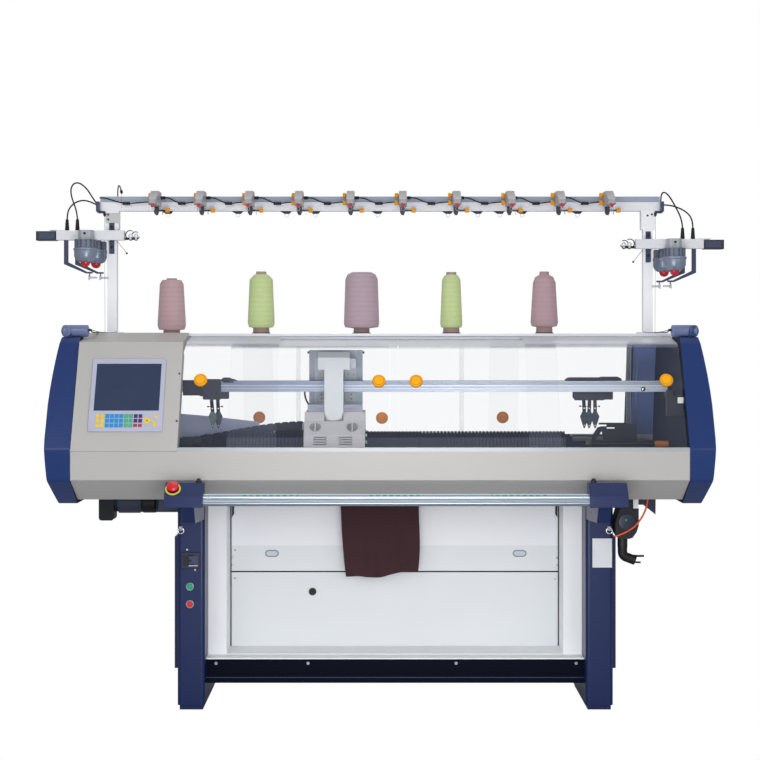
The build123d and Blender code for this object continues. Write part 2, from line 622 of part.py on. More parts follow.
def track_rails(points, bend_radius, face_y, table_y, x0, x1):
    """Bottom and top rail of a hood, with one slot for each track."""
    bottom = block(x0, x1, face_y, face_y + RAIL_DEPTH, COVER_TOP_Z, COVER_TOP_Z + RAIL_HEIGHT)
    top = block(x0, x1, table_y - TOP_RAIL_DEPTH, table_y,
                TABLE_TOP_Z - SHEET - TOP_RAIL_HEIGHT, TABLE_TOP_Z - SHEET)
    for track in (0, 1):
        slot = hood_section(stretched(points, 1.0), track_offset(track),
                            HOOD_THICK + 2 * TRACK_CLEARANCE, bend_radius, x0 - 1, x1 + 1)
        bottom = bottom - slot
        top = top - slot
    return [bottom, top]


def front_hood_points():
    return [HOOD_FOOT, HOOD_BEND, HOOD_END]


def rear_hood_points():
    return [REAR_FOOT, REAR_BEND, REAR_END]


def hood_rails():
    """The four aluminium rails that the front and rear hoods slide in."""
    front = track_rails(front_hood_points(), HOOD_RADIUS, COVER_FRONT_Y, TABLE_FRONT_Y,
                        BOX_X[1] + FIT_GAP, END_INNER_X)
    rear = track_rails(rear_hood_points(), REAR_RADIUS, -COVER_REAR_Y, -TABLE_REAR_Y,
                       -END_INNER_X, END_INNER_X)
    return group(front + [mirror(rail, about=Plane.XZ) for rail in rear])


def rear_fixed_panes(x0, x1):
    """Pane that stands still in the inner track of the rear."""
    pane = hood_section(rear_hood_points(), track_offset(1), HOOD_THICK, REAR_RADIUS, x0, x1)
    return mirror(pane, about=Plane.XZ)


def yarn_table():
    """Folded table top with down-turned lips, on four posts that stand on the frame's rear beam."""
    half = SHEET / 2
    low = TABLE_TOP_Z - TABLE_LIP
    points = [(TABLE_FRONT_Y + half, low), (TABLE_FRONT_Y + half, TABLE_TOP_Z - half),
              (TABLE_REAR_Y - half, TABLE_TOP_Z - half), (TABLE_REAR_Y - half, low)]
    table = folded_sheet(points, SHEET, -END_INNER_X + FIT_GAP, END_INNER_X - FIT_GAP)
    floor = LEG_TOP_Z + FRAME_DEPTH
    posts = []
    for x in TABLE_POSTS_X:
        posts.append(block(x - 8, x + 8, TABLE_POSTS_Y[0], TABLE_POSTS_Y[1], floor, TABLE_TOP_Z - SHEET))
    return group([table] + posts)


def cone_holder(x):
    """Disc and peg that a cone stands on, with the cone's own tube over the peg."""
    z = TABLE_TOP_Z
    disc = rod_z(x, CONE_Y, z, z + 3, 74)
    peg = rod_z(x, CONE_Y, z + 3, z + 120, 14)
    return disc + peg


def cone_tube(x, height, base_diameter, tip_diameter):
    """Hollow conical tube that the yarn is wound on."""
    z = TABLE_TOP_Z + 3
    wall = 3.0
    outer = Pos(x, CONE_Y, z + height / 2) * Cone(base_diameter / 2, tip_diameter / 2, height)
    inner = Pos(x, CONE_Y, z + height / 2) * Cone(base_diameter / 2 - wall, tip_diameter / 2 - wall, height + 0.01)
    return outer - inner


def yarn_package(x, z0, z1, tube, radii):
    """Wound yarn around its tube: heights and radii from the foot to the shoulder."""
    height, base_diameter, tip_diameter = tube

    def tube_radius(z):
        share = (z - TABLE_TOP_Z - 3) / height
        return (base_diameter + (tip_diameter - base_diameter) * share) / 2 + 0.05

    outline = [(tube_radius(z0), z0)] + list(radii) + [(tube_radius(z1), z1)]
    turned = revolve(Plane.XZ * make_face(Polyline(*outline, close=True)), Axis.Z)
    return Pos(x, CONE_Y, 0) * turned


def cones():
    """The five holders with their tubes, and the five yarn packages."""
    holders = []
    packages = []
    for x, tube, z0, z1, radii in CONES:
        holders.append(cone_holder(x))
        holders.append(cone_tube(x, *tube))
        packages.append(yarn_package(x, z0, z1, tube, radii))
    return group(holders), group(packages)


def face_plane():
    """Plane of the control box's slanted face: X to the right, Y up the slope."""
    dy = BOX_TOP[0] - BOX_FOOT[0]
    dz = BOX_TOP[1] - BOX_FOOT[1]
    run = math.hypot(dy, dz)
    return Plane(origin=(0, BOX_FOOT[0], BOX_FOOT[1]), x_dir=(1, 0, 0), z_dir=(0, -dz / run, dy / run))


def control_box():
    """Folded housing of the controls, in line with the hoods, with a shallow case behind its face."""
    plane = face_plane()
    half = SHEET / 2
    points = [BOX_FOOT, BOX_TOP, BOX_END]
    inner = mitred(points, -SHEET)
    shell = side_profile(points + inner[::-1], BOX_X[0], BOX_X[1])
    length = math.hypot(BOX_TOP[0] - BOX_FOOT[0], BOX_TOP[1] - BOX_FOOT[1])
    case = extrude(plane * Pos((BOX_X[0] + BOX_X[1]) / 2, length / 2) *
                   Rectangle(BOX_X[1] - BOX_X[0], length - 60), -BOX_CASE_DEPTH)
    end_wall = side_profile([points[0], points[1], points[2], inner[2],
                             (inner[1][0] + 12, inner[1][1] - 40), (inner[0][0] + 40, inner[0][1])],
                            BOX_X[1] - SHEET, BOX_X[1])
    window = extrude(plane * Pos(SCREEN_X, SCREEN_UP) * Rectangle(SCREEN_WIDTH, SCREEN_HEIGHT), -6.0)
    return shell + case + end_wall - window


def screen_panel():
    """Bezel with a screen window, the glass in it and the membrane keypad below."""
    plane = face_plane()
    bezel = extrude(plane * Pos(SCREEN_X, BEZEL_UP) * RectangleRounded(BEZEL_WIDTH, BEZEL_HEIGHT, 8), BEZEL_THICK)
    glass_hole = extrude(plane * Pos(SCREEN_X, SCREEN_UP) * Rectangle(SCREEN_WIDTH, SCREEN_HEIGHT), BEZEL_THICK)
    glass = extrude(plane * Pos(SCREEN_X, SCREEN_UP) * Rectangle(SCREEN_WIDTH, SCREEN_HEIGHT), BEZEL_THICK - 2)
    back = extrude(plane * Pos(SCREEN_X, SCREEN_UP) * Rectangle(SCREEN_WIDTH, SCREEN_HEIGHT), -6.0)
    keys = []
    top_plane = plane.offset(BEZEL_THICK)
    for key_x, key_up, width, height in KEYS:
        keys.append(extrude(top_plane * Pos(key_x, key_up) * RectangleRounded(width, height, 1.5), KEY_THICK))
    return group([bezel - glass_hole, glass + back] + keys)


def bed_plate():
    """Front bed: a comb-shaped section run down the slope, each trick with its needle standing in it."""
    c, s = math.cos(math.radians(BED_ANGLE)), math.sin(math.radians(BED_ANGLE))
    x0 = BED_CENTRE_X - BED_LENGTH / 2
    x1 = BED_CENTRE_X + BED_LENGTH / 2
    pitch = BED_LENGTH / TRICKS
    outline = [(x0, BED_THICK), (x0, 0)]
    for i in range(TRICKS):
        middle = x0 + (i + 0.5) * pitch
        left, right = middle - TRICK_WIDTH / 2, middle + TRICK_WIDTH / 2
        needle0, needle1 = middle - NEEDLE_WIDTH / 2, middle + NEEDLE_WIDTH / 2
        outline += [(left, 0), (left, TRICK_DEPTH), (needle0, TRICK_DEPTH), (needle0, NEEDLE_TOP),
                    (needle1, NEEDLE_TOP), (needle1, TRICK_DEPTH), (right, TRICK_DEPTH), (right, 0)]
    outline += [(x1, 0), (x1, BED_THICK)]
    ridge_y, ridge_z = bed_point(0, 0)
    section = Plane(origin=(0, ridge_y, ridge_z), x_dir=(1, 0, 0), z_dir=(0, c, s))
    plate = extrude(section * make_face(Polyline(*outline, close=True)), -BED_WIDTH)
    trim = block(x0 - 1, x1 + 1, -BED_GAP / 2, 60, BED_RIDGE_Z - 60, BED_RIDGE_Z + 20)
    return plate - trim


def bed_ends():
    """End blocks of the beds, tie rods, the green pad at the left and the buffer bracket at the right."""
    x0 = BED_CENTRE_X - BED_LENGTH / 2
    x1 = BED_CENTRE_X + BED_LENGTH / 2
    ridge = BED_RIDGE_Z
    clear = RACK_TRAVEL + 2
    rear_gap = [block(x0 - clear, x0 + 1, -BED_GAP / 2, 60, ridge - 80, ridge),
                block(x1 - 1, x1 + clear, -BED_GAP / 2, 60, ridge - 80, ridge)]
    low = ridge - 57
    half = END_BLOCK - END_BOX
    inner = side_profile([(-34, low), (-8, ridge - 8), (8, ridge - 8), (34, low)], x0 - half, x0) - rear_gap[0]
    outer = block(x0 - END_BLOCK, x0 - half, -20, 20, low + 4, ridge - 11)
    pad_x1 = x0 - END_BLOCK - 10
    left = inner + rod_x(-END_INNER_X, x0 - half, 0, low + 20, 8)
    outer = outer - rod_x(x0 - END_BLOCK - 1, x0 - half + 1, 0, low + 20, 8)
    pad = rod_x(pad_x1 - 78, pad_x1, 0, low + 20, 32) - rod_x(pad_x1 - 79, pad_x1 + 1, 0, low + 20, 8)
    right = []
    start = x1
    for reach, drop in END_STEPS:
        outline = [(-34, low - drop / 2), (-6, ridge - drop), (6, ridge - drop), (34, low - drop / 2)]
        right.append(side_profile(outline, start, x1 + reach))
        start = x1 + reach
    right = fuse(right) - rear_gap[1]
    return [left, outer, pad, right] + buffer(x1)


def buffer(x1):
    """Bracket beyond the right bed end with its window, the tie rod, the buffer bar and two sleeves."""
    outline = [(x1 + dx, BED_RIDGE_Z + dz) for dx, dz in BUFFER_OUTLINE]
    window = [(x1 + dx, BED_RIDGE_Z + dz) for dx, dz in BUFFER_WINDOW]
    plate = front_profile(outline, -6, 6) - front_profile(window, -7, 7)
    plate = plate - block(x1 + 164, x1 + 196, -7, 7, BED_RIDGE_Z + 10, BED_RIDGE_Z + 15)
    plate = plate + rod_x(x1 + END_STEPS[1][0], x1 + 160, 0, BED_RIDGE_Z - TIE_ROD_DROP, 6)
    z = BED_RIDGE_Z - BUFFER_BAR_DROP
    plate = plate + rod_x(x1 + BUFFER_OUTLINE[0][0], BUFFER_RINGS_X[0][0], 0, z, BUFFER_BAR_DIAMETER)
    plate = plate + rod_x(BUFFER_RINGS_X[0][1], BUFFER_RINGS_X[1][0], 0, z, BUFFER_BAR_DIAMETER - 2)
    plate = plate + rod_x(BUFFER_RINGS_X[0][0] - 1, END_INNER_X, 0, z, BUFFER_CORE)
    sleeves = []
    for start, end in BUFFER_RINGS_X:
        sleeve = rod_x(start, end, 0, z, BUFFER_SLEEVE) - rod_x(start - 1, end + 1, 0, z, BUFFER_CORE)
        sleeves.append(sleeve)
    return [plate] + sleeves


def yarn_rails():
    """Three grooved rails between the end covers, with their end plates and two clamps."""
    z0, z1 = RAIL_Z
    rails = []
    for y in RAIL_YS:
        rail = block(-END_INNER_X + 10, END_INNER_X - 10, y - RAIL_THICK / 2, y + RAIL_THICK / 2, z0, z1)
        for side in (-1, 1):
            face_y = y + side * RAIL_THICK / 2
            rail = rail - block(-END_INNER_X, END_INNER_X, face_y - side * GROOVE_DEPTH, face_y + side,
                                GROOVE_Z - GROOVE_HEIGHT / 2, GROOVE_Z + GROOVE_HEIGHT / 2)
        rails.append(rail)
    reach = RAIL_PITCH + RAIL_THICK
    for side in (-1, 1):
        x0 = side * (END_INNER_X - 10)
        rails.append(block(min(x0, side * END_INNER_X), max(x0, side * END_INNER_X), -reach, reach, z0 - 20, z1 + 10))
    return group(rails)


def rail_clamps():
    """Dark clamp across the rails at the left, and the hood switch on the right end cover."""
    z0, z1 = RAIL_Z
    clamp = block(-766, -690, -RAIL_PITCH - 5, RAIL_PITCH + 5, z0 - 14, z0)
    clamp = clamp + block(-766, -690, -RAIL_PITCH - 12, -RAIL_PITCH - 5, z0 - 14, z1 + 4)
    switch = block(END_INNER_X - 62, END_INNER_X, -328, -300, 1120, 1216)
    return [clamp, switch]


def yarn_carrier(index, x, side_plate, catch):
    """Carrier on one side of a rail: shoe with a tongue, catch on top, slanted stem and pierced blade."""
    rail_y, side = CARRIER_TRACKS[index]
    tip_y = CARRIER_TIPS[index]
    z0, z1 = RAIL_Z
    near = rail_y + side * (RAIL_THICK / 2 + FIT_GAP)
    far = near + side * SHOE_THICK
    y0, y1 = min(near, far), max(near, far)
    tongue = rail_y + side * (RAIL_THICK / 2 - GROOVE_DEPTH + FIT_GAP)
    half = SHOE_LENGTH / 2
    groove_half = GROOVE_HEIGHT / 2 - FIT_GAP
    plate_x0, plate_x1, plate_low, plate_top = side_plate
    shoe = block(x + plate_x0, x + plate_x1, y0, y1, plate_low, plate_top)
    shoe = chamfer(shoe.edges().filter_by(Axis.Y), 3)
    shoe = shoe + block(x - half, x + half, min(tongue, near), max(tongue, near),
                        GROOVE_Z - groove_half, GROOVE_Z + groove_half)
    catch_x0, catch_x1, catch_top = catch
    lever = front_profile([(x + catch_x0, catch_top - 10), (x + catch_x0 + 12, catch_top),
                           (x + catch_x1 - 16, catch_top), (x + catch_x1, catch_top - 8),
                           (x + catch_x1, z1 - 6), (x + catch_x0 + 14, z1 - 6)], y0, y1)
    shoe = shoe + lever
    middle = (near + far) / 2
    blade_top = CARRIER_TIP_Z + BLADE_HEIGHT
    thick = BLADE_THICK / 2
    bend = plate_low - 8
    stem = side_profile([(middle - thick, plate_low + 1), (middle + thick, plate_low + 1), (middle + thick, bend),
                         (tip_y + thick, blade_top), (tip_y - thick, blade_top), (middle - thick, bend)],
                        x - 7, x + 7)
    stem = stem - rod_y(x, y0 - 30, y1 + 30, blade_top + 12, 5)
    stem_y = tip_y + (middle - tip_y) * (STEM_SCREW_Z - blade_top) / (bend - blade_top)
    reach = x + side * 16
    screw = rod_x(min(x, reach), max(x, reach), stem_y, STEM_SCREW_Z, 2.2)
    screw = screw + rod_x(reach - 3, reach + 3, stem_y, STEM_SCREW_Z, 6)
    tip = CARRIER_TIP_Z
    outline = [(x - 7, blade_top), (x - 17, blade_top - 20), (x - 7, tip + 14), (x - 2, tip), (x + 2, tip),
               (x + 7, tip + 14), (x + 17, blade_top - 20), (x + 7, blade_top)]
    blade = front_profile(outline, tip_y - thick, tip_y + thick)
    eye = Pos(x, 0, tip + 22) * Plane.XZ * Ellipse(5.5, 9)
    blade = blade - extrude(eye, 60, both=True)
    return group([shoe + stem + screw, blade])


def mirrored_y(shape):
    """The same piece behind the needle gap."""
    return mirror(shape, about=Plane.XZ)


def cam_slab():
    """Cam plate of the carriage, parallel to the front bed's surface."""
    outer = CAM_GAP + CAM_THICK
    outline = [bed_point(30, CAM_GAP), bed_point(140, CAM_GAP), bed_point(140, outer), bed_point(30, outer)]
    return side_profile(outline, CARRIAGE_X - CARRIAGE_WIDTH / 2, CARRIAGE_X + CARRIAGE_WIDTH / 2)


def bearing_block(x):
    """Open bearing block that runs on the front guide and clears its posts."""
    outline = [(-128, 912), (-128, 950), (-108, 953), (-86, 971), (-100.5, 944), (-100.5, 912)]
    body = side_profile(outline, x - 25, x + 25)
    bore = rod_x(x - 26, x + 26, -GUIDE_Y, GUIDE_Z, GUIDE_DIAMETER + 2 * FIT_GAP)
    slot = block(x - 26, x + 26, -GUIDE_Y - 5, -GUIDE_Y + 5, 905, GUIDE_Z)
    return body - bore - slot


def belt_clamp():
    """Arm and two jaws that hold the front run of the drive belt."""
    front = PULLEY_Y - PULLEY_DIAMETER / 2 - BELT_THICK
    back = PULLEY_Y - PULLEY_DIAMETER / 2
    x0, x1 = CARRIAGE_X - 30, CARRIAGE_X + 30
    top = BELT_Z[1] + 9
    jaw_low = BELT_Z[0] + 2
    arm = block(x0, x1, 72, back + FIT_GAP + 6, BELT_Z[1] + 1, top)
    first = block(x0, x1, front - FIT_GAP - 6, front - FIT_GAP, jaw_low, top)
    second = block(x0, x1, back + FIT_GAP, back + FIT_GAP + 6, jaw_low, top)
    return arm + first + second


def carriage_bow():
    """Arch of the carriage: front column, bridge and rear plate over the rails, with the cam plates."""
    half = CARRIAGE_WIDTH / 2
    left, right = CARRIAGE_X - half, CARRIAGE_X + half
    pieces = [cam_slab(),
              block(T_X - 30, T_X + 30, -COLUMN_Y - 8, -COLUMN_Y + 16, 1153, 1330),
              block(T_X - 30, T_X + 30, -COLUMN_Y, -COLUMN_Y + 16, 984, 1153),
              block(left, right, -COLUMN_Y - 8, -COLUMN_Y, 1124, 1153),
              block(T_X - 59, T_X + 85, -COLUMN_Y - 2, COLUMN_Y - 8, 1292, 1330),
              block(left, right, COLUMN_Y - 16, SHELL_Y, 984, 1362),
              mirrored_y(cam_slab()), belt_clamp()]
    for x in (CARRIAGE_X - 78, CARRIAGE_X + 78):
        pieces.append(bearing_block(x))
        pieces.append(mirrored_y(bearing_block(x)))
    bow = fuse(pieces)
    for x0, x1 in ((T_X - 66, T_X - 40), (T_X + 44, T_X + 80)):
        bow = bow - block(x0, x1, -COLUMN_Y - 9, -COLUMN_Y - 4, 1135, 1139)
    window0, window1 = left + 22, right - 22
    bow = bow - block(window0, window1, COLUMN_Y - 17, COLUMN_Y - 12, 1160, 1286)
    loose = []
    for x0, x1, z0, z1 in CARRIAGE_PLATES:
        plate = block(x0, x1, COLUMN_Y - 20, COLUMN_Y - 12, z0, z1)
        bow = bow - plate
        loose.append(plate)
    for side in (-1, 1):
        edge = CARRIAGE_X + side * half
        loose.append(rod_x(min(edge, edge + side * 7), max(edge, edge + side * 7), COLUMN_Y - 8, 1352, 9))
    return group([bow] + loose)


def carriage_cover():
    """White T-shaped cap in front of the column, with a slanted top and a round lower end."""
    back = -COLUMN_Y - 8
    front = back - 34
    bar = side_profile([(back, 1288), (front, 1288), (front, 1334), (back, 1355)], T_X - 61, T_X + 61)
    length = 237.0
    stem = Plane.XZ.offset(-back) * Pos(T_X, 1092 + length / 2) * SlotOverall(length, 73, rotation=90)
    stem = extrude(stem, back - front) & block(T_X - 40, T_X + 40, front, back, 1060, 1289)
    groove = block(T_X - 55, T_X + 55, front - 1, front + 3, 1296, 1304)
    return bar + stem - groove


def cam_box_covers():
    """Beige shells over the two cam boxes, with vent slots and two grip holes each."""
    outer = [(-SHELL_Y, 1124), (-92, 1124), (-112, 1092), (-178, 1040), (-188, 990), (-SHELL_Y, 990)]
    inner = [(1 - SHELL_Y, 1121), (-90, 1121), (-109, 1090), (-175, 1038), (-185, 989), (1 - SHELL_Y, 989)]
    left, right = CARRIAGE_X - COVER_HALF, CARRIAGE_X + COVER_HALF
    shell = side_profile(outer, left, right) - side_profile(inner, left + SHEET, right - SHEET)
    shell = shell - block(T_X - 37, T_X + 37, -115, -70, 1090, 1125)
    for x in (CARRIAGE_X - 54, CARRIAGE_X + 43):
        for z in (1003, 1012, 1021, 1030):
            shell = shell - block(x - 26, x + 26, -200, -160, z, z + 4)
    for x in (CARRIAGE_X - 74, CARRIAGE_X + 68):
        grip = rod_z(x, -140, 1040, 1125, 44)
        rib = block(x - 2, x + 2, -175, -100, 1040, 1125)
        shell = shell - (grip - rib)
    for z in (1010, 1036):
        shell = shell + rod_x(right, right + 8, -120, z, 12)
    return group([shell, mirrored_y(shell) + chain_arm()])


def pulley(x):
    """Flanged belt pulley with its own vertical shaft."""
    z0, z1 = BELT_Z
    wheel = rod_z(x, PULLEY_Y, z0 - FIT_GAP, z1 + FIT_GAP, PULLEY_DIAMETER - 2 * FIT_GAP)
    flanges = rod_z(x, PULLEY_Y, z0 - 4, z0 - FIT_GAP, PULLEY_DIAMETER + 9)
    flanges = flanges + rod_z(x, PULLEY_Y, z1 + FIT_GAP, z1 + 4, PULLEY_DIAMETER + 9)
    shaft = rod_z(x, PULLEY_Y, LEG_TOP_Z - 18, z1 + 12, SHAFT_DIAMETER)
    return wheel + flanges + shaft


def drive_belt():
    """Endless flat belt around the two pulleys."""
    inner = PULLEY_DIAMETER / 2
    outer = inner + BELT_THICK
    ring = SlotCenterToCenter(2 * PULLEY_X, 2 * outer) - SlotCenterToCenter(2 * PULLEY_X, 2 * inner)
    return Pos(0, PULLEY_Y, BELT_Z[0]) * extrude(ring, BELT_Z[1] - BELT_Z[0])


def drive_motors():
    """Main motor and gearbox under the left end, idler bearing, and the take-down motor at the right."""
    bore = SHAFT_DIAMETER + 2 * FIT_GAP
    gear_x = -PULLEY_X + 15
    gearbox = block(gear_x - 60, gear_x, PULLEY_Y - 45, PULLEY_Y + 40, 684, LEG_TOP_Z)
    gearbox = fillet(gearbox.edges().filter_by(Axis.Y).sort_by(Axis.Z)[:2], 12)
    gearbox = gearbox + rod_x(gear_x, gear_x + 14, PULLEY_Y, MAIN_MOTOR_Z, 78)
    gearbox = gearbox - rod_z(-PULLEY_X, PULLEY_Y, LEG_TOP_Z - 22, LEG_TOP_Z + 1, bore)
    start = gear_x + 14
    main = rod_x(start, start + 86, PULLEY_Y, MAIN_MOTOR_Z, 90)
    main = main + rod_x(start + 86, start + 94, PULLEY_Y, MAIN_MOTOR_Z, 82)
    cap = chamfer(rod_x(start + 94, start + 152, PULLEY_Y, MAIN_MOTOR_Z, 88).edges(), 5)
    rear_face = FRAME_BEAM_Y - FRAME_BEAM_WIDTH / 2 + 6
    hung = block(start + 60, start + 234, rear_face, rear_face + 5, MAIN_MOTOR_Z - 46, LEG_TOP_Z)
    hung = hung + block(start + 60, start + 234, rear_face - 10, rear_face, MAIN_MOTOR_Z - 46, MAIN_MOTOR_Z - 43)
    idler = block(PULLEY_X - 25, PULLEY_X + 25, PULLEY_Y - 25, PULLEY_Y + 25, 828, LEG_TOP_Z)
    idler = idler - rod_z(PULLEY_X, PULLEY_Y, LEG_TOP_Z - 22, LEG_TOP_Z + 1, bore)
    return group([gearbox, main, cap, hung, idler] + take_motor())


def take_motor():
    """Take-down motor: cast housing with its neck and hose, hanger, gusset and a small junction box."""
    x0, x1 = TAKE_MOTOR_X
    y0, y1 = TAKE_MOTOR_Y
    z = TAKE_MOTOR_TOP_Z
    outline = [(x0, z), (x1, z), (x1, z - 66), (x1 - 8, z - 91), (x1 - 23, z - 112), (x1 - 36, z - 116),
               (x0 - 2, z - 116), (x0 - 16, z - 96), (x0 - 17, z - 54)]
    housing = front_profile(outline, y0 + 6, y1)
    cover = Pos((x0 + x1) / 2 - 8, y0 + 3, z - 58) * Rot(90, 0, 0) * Cylinder(34, 6)
    housing = housing + cover + block(x0, x1 - 8, y0, y0 + 6, z - 12, z)
    middle_x = x0 + 17
    middle_y = (y0 + y1) / 2
    neck = rod_z(middle_x, middle_y, z - 152, z - 116, HOSE_DIAMETER + 2)
    hose_points = [Vector(middle_x, middle_y, z - 152), Vector(middle_x, middle_y, z - 186),
                   Vector(middle_x + 48, middle_y, z - 204)]
    path = FilletPolyline(*hose_points, radius=22)
    hose = sweep(Plane(origin=hose_points[0], z_dir=(0, 0, -1)) * Circle(HOSE_DIAMETER / 2), path=path)
    hanger = block(x0 + 8, x1 - 8, y0 + 4, y0 + 50, z, LEG_TOP_Z)
    gusset = front_profile([(x1 - 8, LEG_TOP_Z), (x1 + 67, LEG_TOP_Z), (x1 + 66, z - 26), (x1 + 19, z + 11),
                            (x1 - 8, z + 11)], y0 + 22, y0 + 28)
    junction = block(x1 - 22, x1 - 3, y0 - 4, y0 + 4, z, z + 42)
    return [housing + neck, hose, hanger, gusset, junction]


def take_down_roller(diameter, journal, side):
    """Roller beside the cloth, with its journals in the bearing plates."""
    reach = SUPPORT_OFFSETS[-1]
    y = side * roller_axis(diameter)
    x0, x1 = BED_CENTRE_X - reach, BED_CENTRE_X + reach
    barrel = rod_x(x0 + 6 + FIT_GAP, x1 - 6 - FIT_GAP, y, ROLLER_Z, diameter)
    return barrel + rod_x(x0 - 8, x1 + 8, y, ROLLER_Z, journal)


def cloth():
    """Knitted strip from the needle gap down into the bay, with soft waves at its lower part."""
    half = CLOTH_THICK / 2
    x0, x1 = CLOTH_X
    front = [(-half, BED_RIDGE_Z - 3), (-half, 700), (-half - 5, 640), (-half + 2, 560), (-half - 4, CLOTH_BOTTOM_Z)]
    back = [(y + CLOTH_THICK, z) for y, z in front]
    return side_profile(front + back[::-1], x0, x1)


def start_bar():
    """Fluted aluminium tube that starts and stops the machine when it is turned."""
    outline = []
    count = 2 * BAR_FLUTES
    for i in range(count):
        radius = BAR_DIAMETER / 2 if i % 2 else BAR_DIAMETER / 2 - 1.6
        angle = 2 * math.pi * i / count
        outline.append((BAR_Y + radius * math.cos(angle), BAR_Z + radius * math.sin(angle)))
    inset = 3.0
    tube = side_profile(outline, BAR_X[0] + inset, BAR_X[1] - inset)
    return tube - rod_x(BAR_X[0] - 1, BAR_X[1] + 1, BAR_Y, BAR_Z, BAR_DIAMETER - 10)


def bar_bracket():
    """Left bracket of the start bar: a box with a slanted front corner on a goose-necked arm."""
    x0 = BASE_X - BRACKET_OUTER
    x1 = x0 + BRACKET_WIDTH
    z0, z1 = BRACKET_Z
    slant = ESTOP_SLANT
    box = side_profile([(BRACKET_FRONT_Y, z0), (BRACKET_FRONT_Y, z1 - slant), (BRACKET_FRONT_Y + slant, z1),
                        (-500, z1), (-500, z0)], x0, x1)
    arm = side_profile([(-500, 845), (-545, z0), (-500, 742), (LEG_FRONT_Y, 722), (LEG_FRONT_Y, 786),
                        (-440, 800), (-490, 845)], x0 + 56, x0 + 103)
    socket = rod_x(BAR_X[0], x1 + 1, BAR_Y, BAR_Z, BAR_DIAMETER + 2 * FIT_GAP)
    return box + arm - socket


def bracket_pair():
    """Both brackets, the left one with the bore of the emergency stop, and their set screws."""
    left = bar_bracket()
    right = mirror(left, about=Plane.YZ.offset(BASE_X))
    left = left - extrude(estop_plane() * Circle(11 + FIT_GAP), -22)
    x = BASE_X - BRACKET_OUTER + BRACKET_WIDTH - 20
    screws = []
    for centre in (x, 2 * BASE_X - x):
        screw = rod_z(centre, BAR_Y + 24, BRACKET_Z[1], BRACKET_Z[1] + 7, 22)
        screws.append(screw + rod_z(centre, BAR_Y + 24, BRACKET_Z[1] + 7, BRACKET_Z[1] + 14, 14))
    return group([left, right] + screws)


def estop_plane():
    """Plane on the left bracket's slanted corner, facing up and to the front."""
    middle_y = BRACKET_FRONT_Y + ESTOP_SLANT / 2
    middle_z = BRACKET_Z[1] - ESTOP_SLANT / 2
    return Plane(origin=(ESTOP_X, middle_y, middle_z), x_dir=(1, 0, 0), z_dir=(0, -1, 1))


def estop_button():
    """Mushroom head on its stem."""
    head = Polyline((0, 10), (15, 10), (ESTOP_HEAD / 2, 14), (ESTOP_HEAD / 2, 19), ESTOP_RIM, (0, 27), close=True)
    turned = revolve(Plane.XZ * make_face(head), Axis.Z)
    stem = Pos(0, 0, -2.5) * Cylinder(11, 27)
    return estop_plane() * (turned + stem)


def push_button(z):
    """Cap that slides in the bore of the left leg."""
    return rod_y(BUTTON_X, LEG_FRONT_Y - 10, LEG_FRONT_Y + 8, z, BUTTON_DIAMETER)


def breaker_lever():
    """Rocker of the breaker with its pivot."""
    pivot = rod_x(BREAKER_X - 9.7, BREAKER_X + 9.7, LEG_FRONT_Y - 5, BREAKER_Z, 8)
    return pivot + block(BREAKER_X - 5, BREAKER_X + 5, LEG_FRONT_Y - 22, LEG_FRONT_Y - 5, BREAKER_Z - 3, BREAKER_Z + 3)


def switch_fittings():
    """Yellow ring of the emergency stop, button bezels, breaker housing, blank plate and two rings."""
    face = LEG_FRONT_Y
    ring = extrude(estop_plane() * (Circle(28) - Circle(11 + FIT_GAP)), 4)
    pieces = [ring]
    for z in BUTTONS_Z:
        bezel = rod_y(BUTTON_X, face - 6, face, z, 30) - rod_y(BUTTON_X, face - 7, face + 1, z, BUTTON_DIAMETER + 0.6)
        pieces.append(bezel)
    housing = block(BREAKER_X - 35, BREAKER_X + 35, face - 12, face, BREAKER_Z - 30, BREAKER_Z + 30)
    pieces.append(housing - block(BREAKER_X - 10, BREAKER_X + 10, face - 13, face + 1, BREAKER_Z - 20, BREAKER_Z + 20))
    pieces.append(block(805, 879, face - 1.5, face, 540, 650))
    for x in RINGS_X:
        foot = block(x - 7, x + 7, face - 4, face, RING_Z - 2, RING_Z + 14)
        pieces.append(foot + Pos(x, face - 6, RING_Z - 2) * Rot(90, 0, 0) * Torus(11, 2.5))
    return group(pieces)


def drilled_left_leg():
    """Left leg with the bores of its two push buttons."""
    body = leg(BASE_X - LEG_SPACING / 2, -1)
    for z in BUTTONS_Z:
        body = body - rod_y(BUTTON_X, LEG_FRONT_Y - 1, LEG_FRONT_Y + 14, z, BUTTON_DIAMETER + 0.6)
    return body


def tension_posts():
    """Two square posts on the yarn table, each with a head plate under the top bar."""
    foot, head = TABLE_TOP_Z, BAR_TOP_Z - TOP_BAR_HEIGHT
    posts = []
    for side in (-1, 1):
        x = side * POST_X
        post = block(x - POST_SIZE / 2, x + POST_SIZE / 2, POST_Y - POST_SIZE / 2, POST_Y + POST_SIZE / 2, foot, head)
        flange = block(x - 38, x + 38, POST_Y - 34, POST_Y + 34, foot, foot + 6)
        collar = block(x - 27, x + 27, POST_Y - POST_SIZE / 2, POST_Y + 24, head - 74, head)
        posts.append(post + flange + collar)
    return group(posts)


